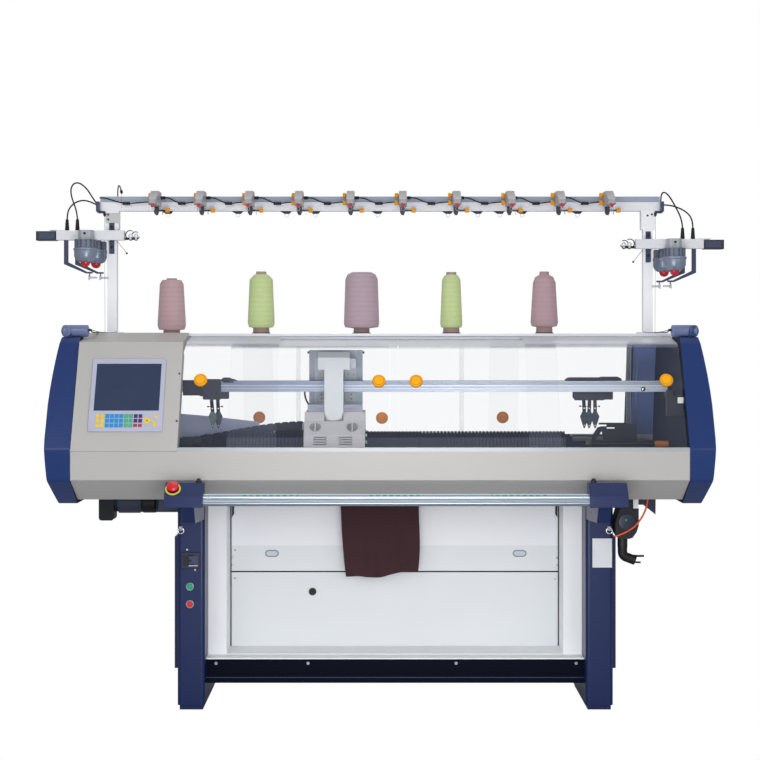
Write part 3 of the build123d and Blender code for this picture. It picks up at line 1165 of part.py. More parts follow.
def top_bar():
    """Lower box tube with an open wire channel on top, and a dark bracket on each end."""
    z1 = BAR_TOP_Z
    z0 = z1 - TOP_BAR_HEIGHT
    split = z0 + 35
    half = TOP_BAR_HALF
    y0 = BAR_FRONT_Y
    box = block(-half, half, y0, y0 + 40, z0, split)
    channel = block(-half, half, y0 + 2, y0 + 38, split, z1)
    channel = channel - block(-half - 1, half + 1, y0 + 5, y0 + 35, split + 3, z1 + 1)
    pieces = [box + channel]
    for side in (-1, 1):
        x0, x1 = side * half, side * (half + 12)
        inner = side * (half - 20)
        plate = block(min(x0, x1), max(x0, x1), y0 - 30, y0 + 44, z0 - 4, z1 - 22)
        foot = block(min(inner, x1), max(inner, x1), y0 - 4, y0 + 44, z0 - 7, z0)
        pieces.append(plate + foot)
    return group(pieces)


def unit_case(x):
    """Case of a tension unit: a deep narrow box on the bar's front, its top sloping down to the front."""
    y0, y1 = BAR_FRONT_Y - UNIT_DEPTH, BAR_FRONT_Y
    z = UNIT_Z
    outline = [(y0, z - 24), (y0, z - 8), (y0 + 80, z + 31), (y1, z + 31), (y1, z - 24), (y1 - 20, z - 28),
               (y0 + 12, z - 28)]
    case = side_profile(outline, x - UNIT_WIDTH / 2, x + UNIT_WIDTH / 2)
    case = chamfer(case.faces().sort_by(Axis.Y)[0].edges().filter_by(Axis.Z), 5)
    return case - block(x - UNIT_WIDTH / 2 + 4, x + UNIT_WIDTH / 2 - 4, y0 - 1, y0 + 2, z - 20, z - 12)


def tension_unit(x):
    """Yarn tension unit: case, two knobs at its left, lamp and wire eye in front, blade and side knob."""
    z = UNIT_Z
    y0 = BAR_FRONT_Y - UNIT_DEPTH
    knob_y = BAR_FRONT_Y - UNIT_KNOB_INSET
    left, right = x - UNIT_WIDTH / 2, x + UNIT_WIDTH / 2
    case = unit_case(x)
    knobs = []
    for dz in (18, -12):
        knob = rod_x(left - 4, left, knob_y, z + dz, 12) + rod_x(left - 17, left - 4, knob_y, z + dz, UNIT_KNOB)
        knobs.append(knob)
    lamp = rod_y(x, y0 + 4, y0 + 18, z - 33, 13) - case
    eye = rod_y(x, y0 + 9, y0 + 11, z - 45, EYE_DIAMETER) - rod_y(x, y0 + 8, y0 + 12, z - 45, EYE_DIAMETER - 3)
    blade = front_profile([(x - 10, z - 28), (x + 9, z - 28), (x + 9, z - 50), (x + 5, z - 61), (x - 4, z - 61),
                           (x - 10, z - 52)], knob_y - 4, knob_y + 4)
    side_rod = rod_x(x + 9, right + 20, knob_y, z - 42, 6)
    side_knob = rod_x(right + 20, right + 37, knob_y, z - 42, UNIT_KNOB - 1)
    hanging = rod_x(right + 8, right + 10, knob_y, z - 51, EYE_DIAMETER)
    hanging = hanging - rod_x(right + 7, right + 11, knob_y, z - 51, EYE_DIAMETER - 3) - side_rod
    return [case, lamp, eye - lamp, blade + side_rod, side_knob, hanging] + knobs


def eyelet_plate(x):
    """Small dark plate under the bar, with its wire eye."""
    z = BAR_TOP_Z - TOP_BAR_HEIGHT
    y = BAR_FRONT_Y + 8
    plate = front_profile([(x - 27, z), (x + 21, z), (x + 12, z - 11), (x - 9, z - 11)], y - 4, y + 4)
    eye = rod_y(x, y - 1, y + 1, z - 17, EYE_DIAMETER) - rod_y(x, y - 2, y + 2, z - 17, EYE_DIAMETER - 3)
    return [plate, eye - plate]


def tension_units():
    """Ten tension units and the eyelet plates between them."""
    pieces = []
    for x in UNITS_X:
        pieces += tension_unit(x)
    for x in EYELETS_X:
        pieces += eyelet_plate(x)
    return group(pieces)


def feeder_beam(drop):
    """Left feeder beam: tube, top plate, dark end box, post clamps, strain reliefs and two yarn guides."""
    z0, z1 = FEEDER_Z[0] - drop, FEEDER_Z[1] - drop
    y0, y1 = FEEDER_Y
    tube = block(FEEDER_X[0], FEEDER_X[1], y0, y1, z0, z1)
    box = block(FEEDER_X[0] - 80, FEEDER_X[0], y0 - 6, y1 + 6, z0 - 2, z1 - 3)
    box = chamfer(box.edges().filter_by(Axis.Z), 4)
    pieces = [tube, box]
    for x, y in RELIEFS:
        pieces.append(Pos(x, y, z1 + RELIEF_HEIGHT / 2) * Cone(9, 6, RELIEF_HEIGHT))
    for low, high in ((z1, z1 + CLAMP_RISE), (z0 - CLAMP_DROP, z0)):
        pieces.append(block(-POST_X - 10, -POST_X + 10, y1 - 6, y1, low, high))
        pieces.append(rod_y(-POST_X, y1 - 11, y1 - 6, (low + high) / 2, 12))
    end = FEEDER_X[1]
    carrier = block(end, end + 50, y1 - 8, y1 - 3, z0 + 2, z0 + 12)
    for x, z, radius in ((end + 20, z0 + 22, 19), (end + 42, z0 + 19, 17)):
        hook = rod_y(x, y1 - 12, y1 - 8, z, 2 * radius) - rod_y(x, y1 - 13, y1 - 7, z, 2 * radius - 7)
        hook = hook - block(x, x + radius + 1, y1 - 13, y1 - 7, z - 4, z + radius - 5)
        carrier = carrier + (hook - block(x - radius, x + radius, y1 - 13, y1 - 7, z0 - 10, z0 + 2))
        ring = rod_y(x + 3, y1 - 22, y1 - 12.5, z0 + 18, 18) - rod_y(x + 3, y1 - 23, y1 - 11, z0 + 18, 8)
        pieces.append(ring + block(x - 1, x + 7, y1 - 20, y1 - 16, z0 + 2, z0 + 10))
        carrier = carrier + block(x - 1, x + 7, y1 - 20, y1 - 8, z0 - 1, z0 + 2)
    pieces.append(carrier)
    return pieces


def storage_feeder(x, y, drop):
    """Storage feeder under the beam: slotted drum, rim and bowl, and the red dome below them."""
    z = FEEDER_Z[0] - drop
    drum = rod_z(x, y, z - 34, z, 86)
    for i in range(DRUM_SLOTS):
        angle = 360 * i / DRUM_SLOTS
        slot = Pos(x, y, z - 17) * Rot(0, 0, angle) * Pos(43, 0, 0) * Box(12, 7, 28)
        drum = drum - slot
    outline = [(0, -88), (27, -88), (38, -80), (44, -66), (44, -44), (47, -41), (47, -34), (0, -34)]
    bowl = Pos(x, y, z) * revolve(Plane.XZ * make_face(Polyline(*outline, close=True)), Axis.Z)
    outline = [(0, 0), (20, 0), (18, -10), (11, -18), (0, -21)]
    dome = revolve(Plane.XZ * make_face(Polyline(*outline, close=True)), Axis.Z)
    return [drum, bowl, Pos(x, y, z - 88) * dome]


def feeder_head(x, side, drop):
    """Cast head that bolts a storage feeder to the beam's front or back."""
    z0, z1 = FEEDER_Z[0] - drop, FEEDER_Z[1] - drop
    face = FEEDER_Y[0] if side < 0 else FEEDER_Y[1]
    y0, y1 = sorted((face, face + side * 45))
    head = block(x - 29, x + 29, y0, y1, z0, z1)
    outer = head.edges().filter_by(Axis.Z).sort_by(Axis.Y)
    return fillet(outer[:2] if side < 0 else outer[-2:], 20)


def feeder_arm(x, reach, y0, y1, drop):
    """Flat arm under the beam, bent inward, with a ceramic eyelet and its wire at the tip."""
    z = FEEDER_Z[0] - drop
    outline = [(x - 9, z), (x + 9, z), (x + 9, z - 88), (x + reach, z - 126), (x + reach + 22, z - 126),
               (x + reach + 22, z - 133), (x + reach - 4, z - 133), (x - 9, z - 96)]
    arm = front_profile(outline, y0, y1)
    tip = x + reach
    y = (y0 + y1) / 2
    arm = arm + block(tip + 8, tip + 12, y0, y1, z - 142, z - 132)
    outline = [(3.5, 0), (10, 0), (10, 2), (5.5, 6), (5.5, 9), (3.5, 9)]
    eye = revolve(Plane.XZ * make_face(Polyline(*outline, close=True)), Axis.Z)
    eye = Pos(tip + 6, y, z - 149) * Rot(0, 90, 0) * eye
    wire = rod_x(tip + 15, tip + 40, y, z - 149, 7.2) - rod_x(tip + 14, tip + 41, y, z - 149, 4)
    return [arm - eye, eye + wire]


def feeders():
    """Beams, and the four storage feeders with heads and arms; the right side mirrors the left."""
    beams = []
    stacks = []
    for mirrored, drop in ((False, 0.0), (True, FEEDER_DROP)):
        beam = feeder_beam(drop)
        stack = [feeder_head(FEEDER_FRONT_X, -1, drop), feeder_head(FEEDER_BACK_X, 1, drop)]
        stack += storage_feeder(FEEDER_FRONT_X, FEEDER_Y[0] - 32, drop)
        stack += storage_feeder(FEEDER_BACK_X, FEEDER_Y[1] + 70, drop)
        stack += feeder_arm(-1246, 83, FEEDER_Y[0] + 4, FEEDER_Y[0] + 8, drop)
        stack += feeder_arm(-1207, 83, FEEDER_Y[1] - 8, FEEDER_Y[1] - 4, drop)
        if mirrored:
            beam = [mirror(piece, about=Plane.YZ) for piece in beam]
            stack = [mirror(piece, about=Plane.YZ) for piece in stack]
        beams += beam
        stacks += stack
    return group(beams), group(stacks)


def tube_along(points, diameter):
    """Round lead along straight runs with wide tangent arcs between them."""
    vectors = [Vector(*point) for point in points]
    radii = []
    for before, here, after in zip(vectors, vectors[1:], vectors[2:]):
        first, second = here - before, after - here
        turn = math.radians(first.get_angle(second))
        radii.append(0.45 * min(first.length, second.length) / math.tan(turn / 2))
    path = FilletPolyline(*vectors, radius=radii)
    start = Plane(origin=vectors[0], z_dir=vectors[1] - vectors[0])
    tube = sweep(start * Circle(diameter / 2), path=path)
    return tube, min(radii), path.length


def feeder_leads():
    """The four black leads from the feeder beams to the top bar's end brackets."""
    for i, points in enumerate(FEEDER_LEADS):
        tube, least, length = tube_along(points, LEAD_DIAMETER)
        print("feeder lead", i + 1, "length", round(length), "least radius", round(least, 1),
              "volume ratio", round(tube.volume / (math.pi * (LEAD_DIAMETER / 2) ** 2 * length), 4))
        keep(f"feeder_lead_{i + 1}", tube)


def unit_lead(x0, x1):
    """Lead between two tension units, sagging to an in-line connector."""
    span = x1 - x0
    y = BAR_FRONT_Y - LEAD_INSET
    points = [(x0 + share * span, y, UNIT_Z + dz) for share, dz in ((0, 9), (0.12, 8), (0.45, -15), (1, -6))]
    tube, _, _ = tube_along(points, 5)
    middle = x0 + span / 2
    return tube + rod_x(middle - 15, middle + 15, y, UNIT_Z - 13.4, 12)


def unit_leads():
    """All leads along the top bar, each from one unit's plug to the next unit's case."""
    half = UNIT_WIDTH / 2
    starts = [-TOP_BAR_HALF] + [x + half + 17 for x in UNITS_X[:-1]]
    pieces = []
    for x0, x1 in zip(starts, UNITS_X):
        pieces.append(unit_lead(x0, x1 - half))
        if x0 > -TOP_BAR_HALF:
            y = BAR_FRONT_Y - LEAD_INSET
            pieces.append(block(x0 - 17, x0, y - 5, y + 5, UNIT_Z + 3, UNIT_Z + 15))
    return group(pieces)


def drag_chain():
    """Cable chain from its post at the left to the carriage's arm, as a row of short links."""
    (x0, z0), (x1, z1) = CHAIN_ENDS
    upper, lower = [], []
    for i in range(CHAIN_LINKS):
        for share, thick in zip((0.0, 0.2, 0.8, 1.0), CHAIN_HALF + CHAIN_HALF[::-1]):
            t = (i + share) / CHAIN_LINKS
            x = x0 + (x1 - x0) * t
            z = z0 + (z1 - z0) * t * t * (3 - 2 * t)
            if share < 1.0 or i == CHAIN_LINKS - 1:
                upper.append((x, z + thick))
                lower.append((x, z - thick))
    return front_profile(upper + lower[::-1], CHAIN_Y - CHAIN_WIDTH / 2, CHAIN_Y + CHAIN_WIDTH / 2)


def chain_post():
    """Post on the frame's rear beam that holds the fixed end of the chain."""
    x, z = CHAIN_ENDS[0]
    half = CHAIN_WIDTH / 2
    return block(x - 16, x, CHAIN_Y - half, CHAIN_Y + half, LEG_TOP_Z + FRAME_DEPTH, z + 12)


def chain_arm():
    """Arm on the carriage's rear cover that holds the moving end of the chain."""
    x, z = CHAIN_ENDS[1]
    return block(x, x + 18, 110, CHAIN_Y + CHAIN_WIDTH / 2, z - 12, z + 12)


def fasteners():
    """Screw heads on the lower beam, the bay panels and the control box."""
    heads = []
    for x in BEAM_SCREWS_X:
        heads.append(rod_y(x, BEAM_FRONT_Y + 3, BEAM_FRONT_Y + 6, 166, 12))
    for x, z in PANEL_SCREWS:
        heads.append(rod_y(x, BAY_BACK_Y - 2.5, BAY_BACK_Y, z, 9))
    plane = face_plane()
    for up in (118.0, 308.0):
        heads.append(extrude(plane * Pos(BOX_X[1] - 7, up) * Circle(3.5), 2.5))
    return group(heads)


def build():
    """Make every node."""
    keep("left_leg", drilled_left_leg())
    keep("right_leg", leg(BASE_X + LEG_SPACING / 2, 1))
    keep("lower_beam", lower_beam())
    keep("bed_frame", group([bed_frame(), chain_post()]))
    keep("bay_liner", bay_liner())
    keep("front_cover", front_cover())
    keep("rear_cover", rear_cover())
    end = end_cover()
    keep("end_covers", group([end, mirror(end, about=Plane.YZ)]))
    keep("control_box", control_box())
    keep("screen_panel", screen_panel())
    keep("hood_rails", hood_rails())
    keep("rear_end_panels", group([rear_fixed_panes(REAR_PANEL_X, END_INNER_X - FIT_GAP),
                                   rear_fixed_panes(-END_INNER_X + FIT_GAP, -REAR_PANEL_X)]))
    keep("rear_fixed_pane", rear_fixed_panes(*REAR_PANE))
    keep("yarn_table", yarn_table())
    holders, packages = cones()
    keep("cone_holders", holders)
    keep("yarn_cones", packages)
    keep("yarn_rails", group([yarn_rails()] + rail_clamps()))
    keep("front_needle_bed", group([bed_plate()] + bed_ends()))
    keep("drive_motors", drive_motors())
    keep("drive_belt", drive_belt())
    keep("bar_brackets", bracket_pair())
    keep("switch_fittings", switch_fittings())
    keep("tension_posts", tension_posts())
    keep("top_bar", top_bar())
    keep("tension_units", tension_units())
    beams, stacks = feeders()
    keep("feeder_beams", beams)
    keep("storage_feeders", stacks)
    feeder_leads()
    keep("unit_leads", unit_leads())
    keep("drag_chain", drag_chain())
    keep("cloth", cloth())
    keep("fasteners", fasteners())
    for i, (pane, track) in enumerate(zip(FRONT_HOODS, FRONT_TRACKS)):
        keep(f"front_hood_{i + 1}", sliding_hood(front_hood_points(), HOOD_RADIUS, pane, track, KNOB_Z))
    for i, (pane, track) in enumerate(zip(REAR_HOODS, REAR_TRACKS)):
        hood = sliding_hood(rear_hood_points(), REAR_RADIUS, pane, track, REAR_KNOB_Z)
        keep(f"rear_hood_{i + 1}", mirrored_y(hood))
    keep("carriage_bow", carriage_bow())
    keep("carriage_cover", carriage_cover())
    keep("cam_box_covers", cam_box_covers())
    for i, (x, plate, catch) in enumerate(CARRIERS):
        keep(f"yarn_carrier_{i + 1}", yarn_carrier(i, x, plate, catch))
    keep("rear_needle_bed", mirrored_y(bed_plate()))
    keep("takedown_roller", take_down_roller(ROLLER_DIAMETER, ROLLER_JOURNAL, 1))
    keep("press_roller", take_down_roller(PRESS_DIAMETER, PRESS_JOURNAL, -1))
    keep("motor_pulley", pulley(-PULLEY_X))
    keep("idler_pulley", pulley(PULLEY_X))
    keep("start_bar", start_bar())
    keep("estop_button", estop_button())
    keep("green_button", push_button(BUTTONS_Z[0]))
    keep("red_button", push_button(BUTTONS_Z[1]))
    keep("breaker_lever", breaker_lever())


build()
os.makedirs("parts", exist_ok=True)
for node, shape in NODES.items():
    export_step(Pos(0, FOOTPRINT_SHIFT, 0) * shape, f"parts/{node}.step")
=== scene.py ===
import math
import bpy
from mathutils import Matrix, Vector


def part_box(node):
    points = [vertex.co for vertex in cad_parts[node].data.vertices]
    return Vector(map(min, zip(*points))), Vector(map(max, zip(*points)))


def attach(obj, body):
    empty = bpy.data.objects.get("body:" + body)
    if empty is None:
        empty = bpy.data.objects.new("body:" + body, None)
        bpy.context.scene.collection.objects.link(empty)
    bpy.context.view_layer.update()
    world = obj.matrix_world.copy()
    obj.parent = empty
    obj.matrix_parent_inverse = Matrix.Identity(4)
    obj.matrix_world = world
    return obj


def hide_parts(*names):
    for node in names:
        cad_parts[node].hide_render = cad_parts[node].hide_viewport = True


bl_info = {
    "name": "Flat knitting machine",
    "version": (1, 0, 0),
    "blender": (4, 5, 0),
    "location": "3D View > Sidebar > Knitting machine",
    "description": "Finishes, soft pieces and small fittings of a flat knitting machine, on its CAD frame",
    "category": "Object",
}

import bmesh
import bpy
from mathutils import Vector

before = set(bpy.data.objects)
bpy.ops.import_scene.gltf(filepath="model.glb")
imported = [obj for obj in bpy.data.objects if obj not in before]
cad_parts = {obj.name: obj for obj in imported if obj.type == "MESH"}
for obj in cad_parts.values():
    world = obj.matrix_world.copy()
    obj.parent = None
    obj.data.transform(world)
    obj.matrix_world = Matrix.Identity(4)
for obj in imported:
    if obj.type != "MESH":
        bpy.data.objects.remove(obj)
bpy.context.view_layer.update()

MM = 0.001
# The frame's origin lies this far in front of the gap between the needle beds, in millimetres
SHIFT = 98.496
# Inner faces of the end covers, in millimetres either side of the middle
END_INNER_X = 1127.0
# Lens and sensor in millimetres, and the upward shift of the frame as a share of its width
LENS, SENSOR, LENS_SHIFT = 77.5, 36.0, -0.0592
# Name, place, aim, side and strength of each soft light
STUDIO_LAMPS = (
    ("Key", (-2.6, -4.4, 3.2), (0, 0, 1.0), 2.6, 120.0),
    ("Fill", (3.2, -4.2, 2.6), (0, 0, 0.9), 2.6, 80.0),
    ("Bay", (0.1, -3.0, 0.7), (0.06, 0, 0.5), 1.6, 105.0),
    ("Top", (0.0, 0.6, 4.2), (0, 0.1, 1.0), 3.0, 80.0),
)
# Lower edge of the slanted control face and its direction, in YZ, in millimetres
FACE_FOOT = Vector((-453.0, 998.6))
FACE_RISE = Vector((187.0, 396.4)).normalized()
# Outward direction of the hoods' slanted run
HOOD_OUTWARD = Vector((0.0, -0.901, 0.434))


def place(x, y, z):
    """Point in metres from millimetres that count Y from the gap between the needle beds."""
    return Vector((x, y + SHIFT, z)) * MM


# Shader expressions


class Channel:
    """A socket in a node tree, or a plain number, that takes part in shader maths."""

    def __init__(self, paint, socket):
        self.paint = paint
        self.socket = socket

    def _maths(self, operation, *values):
        return self.paint.node("ShaderNodeMath", {"operation": operation}, *values)

    def __add__(self, other):
        return self._maths("ADD", self, other)

    __radd__ = __add__

    def __sub__(self, other):
        return self._maths("SUBTRACT", self, other)

    def __rsub__(self, other):
        return self._maths("SUBTRACT", other, self)

    def __mul__(self, other):
        return self._maths("MULTIPLY", self, other)

    __rmul__ = __mul__

    def __gt__(self, other):
        return self._maths("GREATER_THAN", self, other)

    def __lt__(self, other):
        return self._maths("LESS_THAN", self, other)

    def wave(self):
        return self._maths("SINE", self)

    def fraction(self):
        return self._maths("FRACT", self)

    def size(self):
        return self._maths("ABSOLUTE", self)

    def most(self, other):
        return self._maths("MAXIMUM", self, other)

    def smooth(self, low, high):
        """0 below low, 1 above high, and a soft step between."""
        return self.paint.node("ShaderNodeMapRange", {"interpolation_type": "SMOOTHSTEP"},
                               Value=self, **{"From Min": low, "From Max": high})


class Paint:
    """A material under construction."""

    def __init__(self, name):
        self.material = bpy.data.materials.new(name)
        self.material.use_nodes = True
        self.tree = self.material.node_tree
        self.shader = self.tree.nodes["Principled BSDF"]
        self.output = self.tree.nodes["Material Output"]

    def node(self, kind, settings=None, *values, **named):
        """Add a node: its settings first, then its inputs by order or by name; its first output."""
        made = self.tree.nodes.new(kind)
        for key, value in (settings or {}).items():
            if key == "stops":
                ramp = made.color_ramp
                while len(ramp.elements) < len(value):
                    ramp.elements.new(0.5)
                for element, (position, colour) in zip(ramp.elements, value):
                    element.position = position
                    element.color = (*colour, 1.0)
            else:
                setattr(made, key, value)
        for i, value in enumerate(values):
            self.feed(made.inputs[i], value)
        for key, value in named.items():
            self.feed(made.inputs[key], value)
        outputs = [socket for socket in made.outputs if socket.enabled]
        return Channel(self, outputs[0])

    def feed(self, socket, value):
        if isinstance(value, Channel):
            self.tree.links.new(value.socket, socket)
        elif isinstance(value, (tuple, list)) and len(value) == 3 and socket.type == "RGBA":
            socket.default_value = (*value, 1.0)
        else:
            socket.default_value = value

    def set(self, **values):
        """Constants and links on the surface shader."""
        for key, value in values.items():
            self.feed(self.shader.inputs[key.replace("_", " ")], value)

    def where(self):
        """Object coordinates, which are the machine's own frame in metres."""
        made = self.tree.nodes.new("ShaderNodeTexCoord")
        return Channel(self, made.outputs["Object"])

    def axes(self):
        """X, Y and Z of the object coordinates."""
        made = self.tree.nodes.new("ShaderNodeSeparateXYZ")
        self.feed(made.inputs[0], self.where())
        return [Channel(self, socket) for socket in made.outputs]

    def facing(self):
        """X, Y and Z of the surface normal."""
        geometry = self.tree.nodes.new("ShaderNodeNewGeometry")
        made = self.tree.nodes.new("ShaderNodeSeparateXYZ")
        self.tree.links.new(geometry.outputs["Normal"], made.inputs[0])
        return [Channel(self, socket) for socket in made.outputs]

    def noise(self, scale, detail=3.0, stretch=(1.0, 1.0, 1.0)):
        spot = self.node("ShaderNodeMapping", {"vector_type": "POINT"}, Vector=self.where(), Scale=stretch)
        return self.node("ShaderNodeTexNoise", {}, Vector=spot, Scale=scale, Detail=detail)

    def blend(self, share, first, second):
        """Colour between two colours."""
        made = self.tree.nodes.new("ShaderNodeMix")
        made.data_type = "RGBA"
        for name, value in (("Factor_Float", share), ("A_Color", first), ("B_Color", second)):
            socket = next(s for s in made.inputs if s.identifier == name)
            self.feed(socket, value)
        return Channel(self, next(s for s in made.outputs if s.identifier == "Result_Color"))

    def bump(self, height, strength, distance):
        self.set(Normal=self.node("ShaderNodeBump", {}, Height=height, Strength=strength, Distance=distance))


def rgb(code):
    """Linear colour from a display colour such as "c8c2b8"; a linear colour comes back as it is."""
    if not isinstance(code, str):
        return tuple(code)
    channels = [int(code[i:i + 2], 16) / 255 for i in (0, 2, 4)]
    return tuple(c / 12.92 if c <= 0.04045 else ((c + 0.055) / 1.055) ** 2.4 for c in channels)


def painted(name, code, roughness=0.35, coat=0.08, dusty=0.0, metallic=0.0, shine=0.3):
    """Powder-coated sheet: fine orange peel, slight shade changes and a little dust on upward faces."""
    paint = Paint(name)
    colour = rgb(code)
    cloud = paint.noise(3.0, 4.0)
    darker = tuple(c * 0.9 for c in colour)
    shade = paint.blend(cloud, darker, colour)
    up = paint.facing()[2]
    film = up.smooth(0.3, 1.0) * dusty * paint.noise(22.0, 5.0)
    paint.set(Base_Color=paint.blend(film, shade, rgb("9a9a98")), Metallic=metallic, Coat_Roughness=0.15,
              Roughness=cloud * 0.12 + (roughness - 0.06) + film * 0.6, Coat_Weight=coat,
              Specular_IOR_Level=shine)
    paint.bump(paint.noise(900.0, 2.0), 0.06, 0.0004)
    return paint.material


def brushed(name, code, roughness=0.3, stretch=(0.02, 1.0, 1.0), scale=1400.0, strength=0.12):
    """Drawn or milled metal with fine lines along X and small changes of gloss."""
    paint = Paint(name)
    colour = rgb(code)
    lines = paint.noise(scale, 2.0, stretch)
    cloud = paint.noise(9.0, 3.0)
    paint.set(Base_Color=paint.blend(lines, tuple(c * 0.82 for c in colour), colour), Metallic=1.0,
              Roughness=lines * 0.14 + cloud * 0.1 + (roughness - 0.1))
    paint.bump(lines, strength, 0.0003)
    return paint.material


def moulded(name, code, roughness=0.4, grain=1500.0, strength=0.05, coat=0.0, shine=0.3, painted_glow=0.0):
    """Moulded plastic with a fine even grain and faint handling marks."""
    paint = Paint(name)
    colour = rgb(code)
    cloud = paint.noise(14.0, 4.0)
    paint.set(Base_Color=paint.blend(cloud, tuple(c * 0.86 for c in colour), colour), Coat_Weight=coat,
              Roughness=cloud * 0.16 + (roughness - 0.08), Specular_IOR_Level=shine)
    # Emission above 0 is painted light, a lit look on a part that is no lamp.
    paint.set(Emission_Color=colour, Emission_Strength=painted_glow)
    paint.bump(paint.noise(grain, 2.0), strength, 0.0003)
    return paint.material


def clear_sheet(name, code, alpha, roughness=0.05, top="e6e9f1", bend="8f96a8"):
    """Clear sheet with faint smears, denser at its cut edges, with a painted grey shade in the bend and a painted
    pale reflection on the level top.
    """
    paint = Paint(name)
    smear = paint.noise(5.0, 5.0, (1.0, 0.3, 0.3))
    normal = paint.facing()
    side = normal[0].size().smooth(0.7, 0.95)
    up = normal[2].size()
    # Painted reflection: the level top is paler and denser; painted shade: the bend is grey and denser.
    top_reflection = up.smooth(0.93, 0.98)
    fold = up.smooth(0.62, 0.8) * (1.0 - top_reflection)
    colour = paint.blend(fold, paint.blend(top_reflection, rgb(code), rgb(top)), rgb(bend))
    paint.set(Base_Color=colour, Roughness=smear * 0.08 + roughness, IOR=1.49, Specular_IOR_Level=0.4,
              Alpha=side * 0.3 + smear * 0.008 + fold * 0.22 + top_reflection * 0.45 + alpha)
    paint.bump(paint.noise(2.5, 1.0), 0.02, 0.002)
    return paint.material


def split_colour(name, code, other, axis, limit, roughness=0.35, metallic=0.0, coat=0.15):
    """Painted or drawn sheet whose colour changes at a height, width or depth in millimetres; on the top channel
    the darker upper part is painted shade on its sloping face.
    """
    paint = Paint(name)
    mask = paint.axes()[axis] > limit * MM
    cloud = paint.noise(3.0, 4.0)
    colour = paint.blend(mask, rgb(code), rgb(other))
    paint.set(Base_Color=paint.blend(cloud * 0.12, colour, rgb("3a4050")), Metallic=metallic, Coat_Weight=coat,
              Roughness=cloud * 0.12 + (roughness - 0.06))
    paint.bump(paint.noise(700.0, 2.0), 0.05, 0.0004)
    return paint.material


def end_moulding(name, code, inner):
    """Gloss navy outside and matt navy on the inward faces, where the darker colour is painted shade, with faint
    ripples.
    """
    paint = Paint(name)
    x = paint.axes()[0].size()
    outside = x > (END_INNER_X + 1.5) * MM
    cloud = paint.noise(2.5, 4.0)
    colour = rgb(code)
    face = paint.blend(cloud, tuple(c * 0.88 for c in colour), colour)
    # Painted shade: the inward faces get the darker navy.
    paint.set(Base_Color=paint.blend(outside, rgb(inner), face), Coat_Weight=outside * 0.12,
              Roughness=cloud * 0.12 + 0.6 - outside * 0.34, Specular_IOR_Level=0.3)
    paint.bump(paint.noise(500.0, 2.0), 0.05, 0.0004)
    return paint.material


def liner_sheet(name, code, upper, pocket):
    """White bay panels: a paler upper half that is painted light, and a darker colour behind the depth of the grip
    pockets that is painted shade.
    """
    paint = Paint(name)
    _, y, z = paint.axes()
    cloud = paint.noise(3.0, 4.0)
    # Painted light above 587 mm, and painted shade on the floors of the grip pockets.
    high = z > 0.587
    pocket_shade = (y > (84.0 + SHIFT) * MM) * (z > 0.53) * (z < 0.59)
    colour = paint.blend(high, rgb(code), rgb(upper))
    colour = paint.blend(cloud * 0.08, colour, rgb("8a93a0"))
    paint.set(Base_Color=paint.blend(pocket_shade, colour, rgb(pocket)), Roughness=cloud * 0.1 + 0.36, Coat_Weight=0.1)
    paint.bump(paint.noise(900.0, 2.0), 0.05, 0.0004)
    return paint.material


def bar_with_marks(name, code, mark):
    """Fluted aluminium with groups of short green dashes along the upper front flute."""
    paint = Paint(name)
    x, y, z = paint.axes()
    colour = rgb(code)
    lines = paint.noise(900.0, 2.0, (0.02, 1.0, 1.0))
    band = (z > 0.8455) * (z < 0.8500) * (y < (-548.0 + SHIFT) * MM)
    wide = ((x * 42.0).fraction() > 0.42) * (((x * 2.25 + 0.11).fraction() < 0.46))
    fine = ((x * 84.0).fraction() > 0.5) * (((x * 2.25 + 0.6).fraction() < 0.38)) * (z < 0.8475)
    mask = band * wide.most(fine) * (paint.noise(420.0, 2.0) > 0.42)
    paint.set(Base_Color=paint.blend(mask, paint.blend(lines, tuple(c * 0.8 for c in colour), colour), rgb(mark)),
              Metallic=1.0 - mask, Roughness=lines * 0.12 + 0.24)
    paint.bump(lines, 0.1, 0.0003)
    return paint.material


def rail_metal(name, code, bright):
    """Drawn guide rails with painted light: darker at the left and lighter towards the right, a painted shade band
    and two painted highlight lines.
    """
    paint = Paint(name)
    x, _, z = paint.axes()
    lines = paint.noise(1300.0, 2.0, (0.01, 1.0, 1.0))
    # Painted light from left to right, a painted shade band along the top and painted highlight lines.
    light = x.smooth(-0.5, 0.85)
    colour = paint.blend(light, rgb(code), rgb(bright))
    colour = paint.blend(lines * 0.2, colour, rgb("5a6272"))
    shaded_band = (z > 1.2275) * (z < 1.2395)
    highlight_lines = (z > 1.2225) * (z < 1.2268) + (z > 1.2115) * (z < 1.2145)
    colour = paint.blend(shaded_band * 0.45, colour, rgb("6a768c"))
    colour = paint.blend(highlight_lines * (light * 0.6 + 0.35), colour, rgb("d4dbe6"))
    paint.set(Base_Color=colour, Metallic=0.3, Roughness=lines * 0.15 + 0.3)
    paint.bump(lines, 0.12, 0.0003)
    return paint.material


def arch_casting(name, code, flange_shade, band):
    """Carriage arch: lighter middle, side flanges in painted shade, a grey band over the cam box and a pale foot
    that is painted light.
    """
    paint = Paint(name)
    x, y, z = paint.axes()
    colour = rgb(code)
    from_middle = (x + 0.174).size()
    # Painted shade on the side flanges.
    shaded_flanges = from_middle > 0.0835
    low = (z > 1.1235) * (z < 1.1535) * (y < (-60.0 + SHIFT) * MM)
    cloud = paint.noise(6.0, 4.0)
    face = paint.blend(shaded_flanges, colour, rgb(flange_shade))
    face = paint.blend(cloud * 0.15, face, rgb("5a6472"))
    # Painted light: the foot below 1123.5 mm is pale, so the cam cover's grip holes look light.
    foot = z < 1.1235
    face = paint.blend(foot, face, rgb("dcdde2"))
    paint.set(Base_Color=paint.blend(low, face, rgb(band)), Roughness=cloud * 0.14 + 0.32, Metallic=0.15)
    paint.bump(paint.noise(900.0, 2.0), 0.06, 0.0004)
    return paint.material


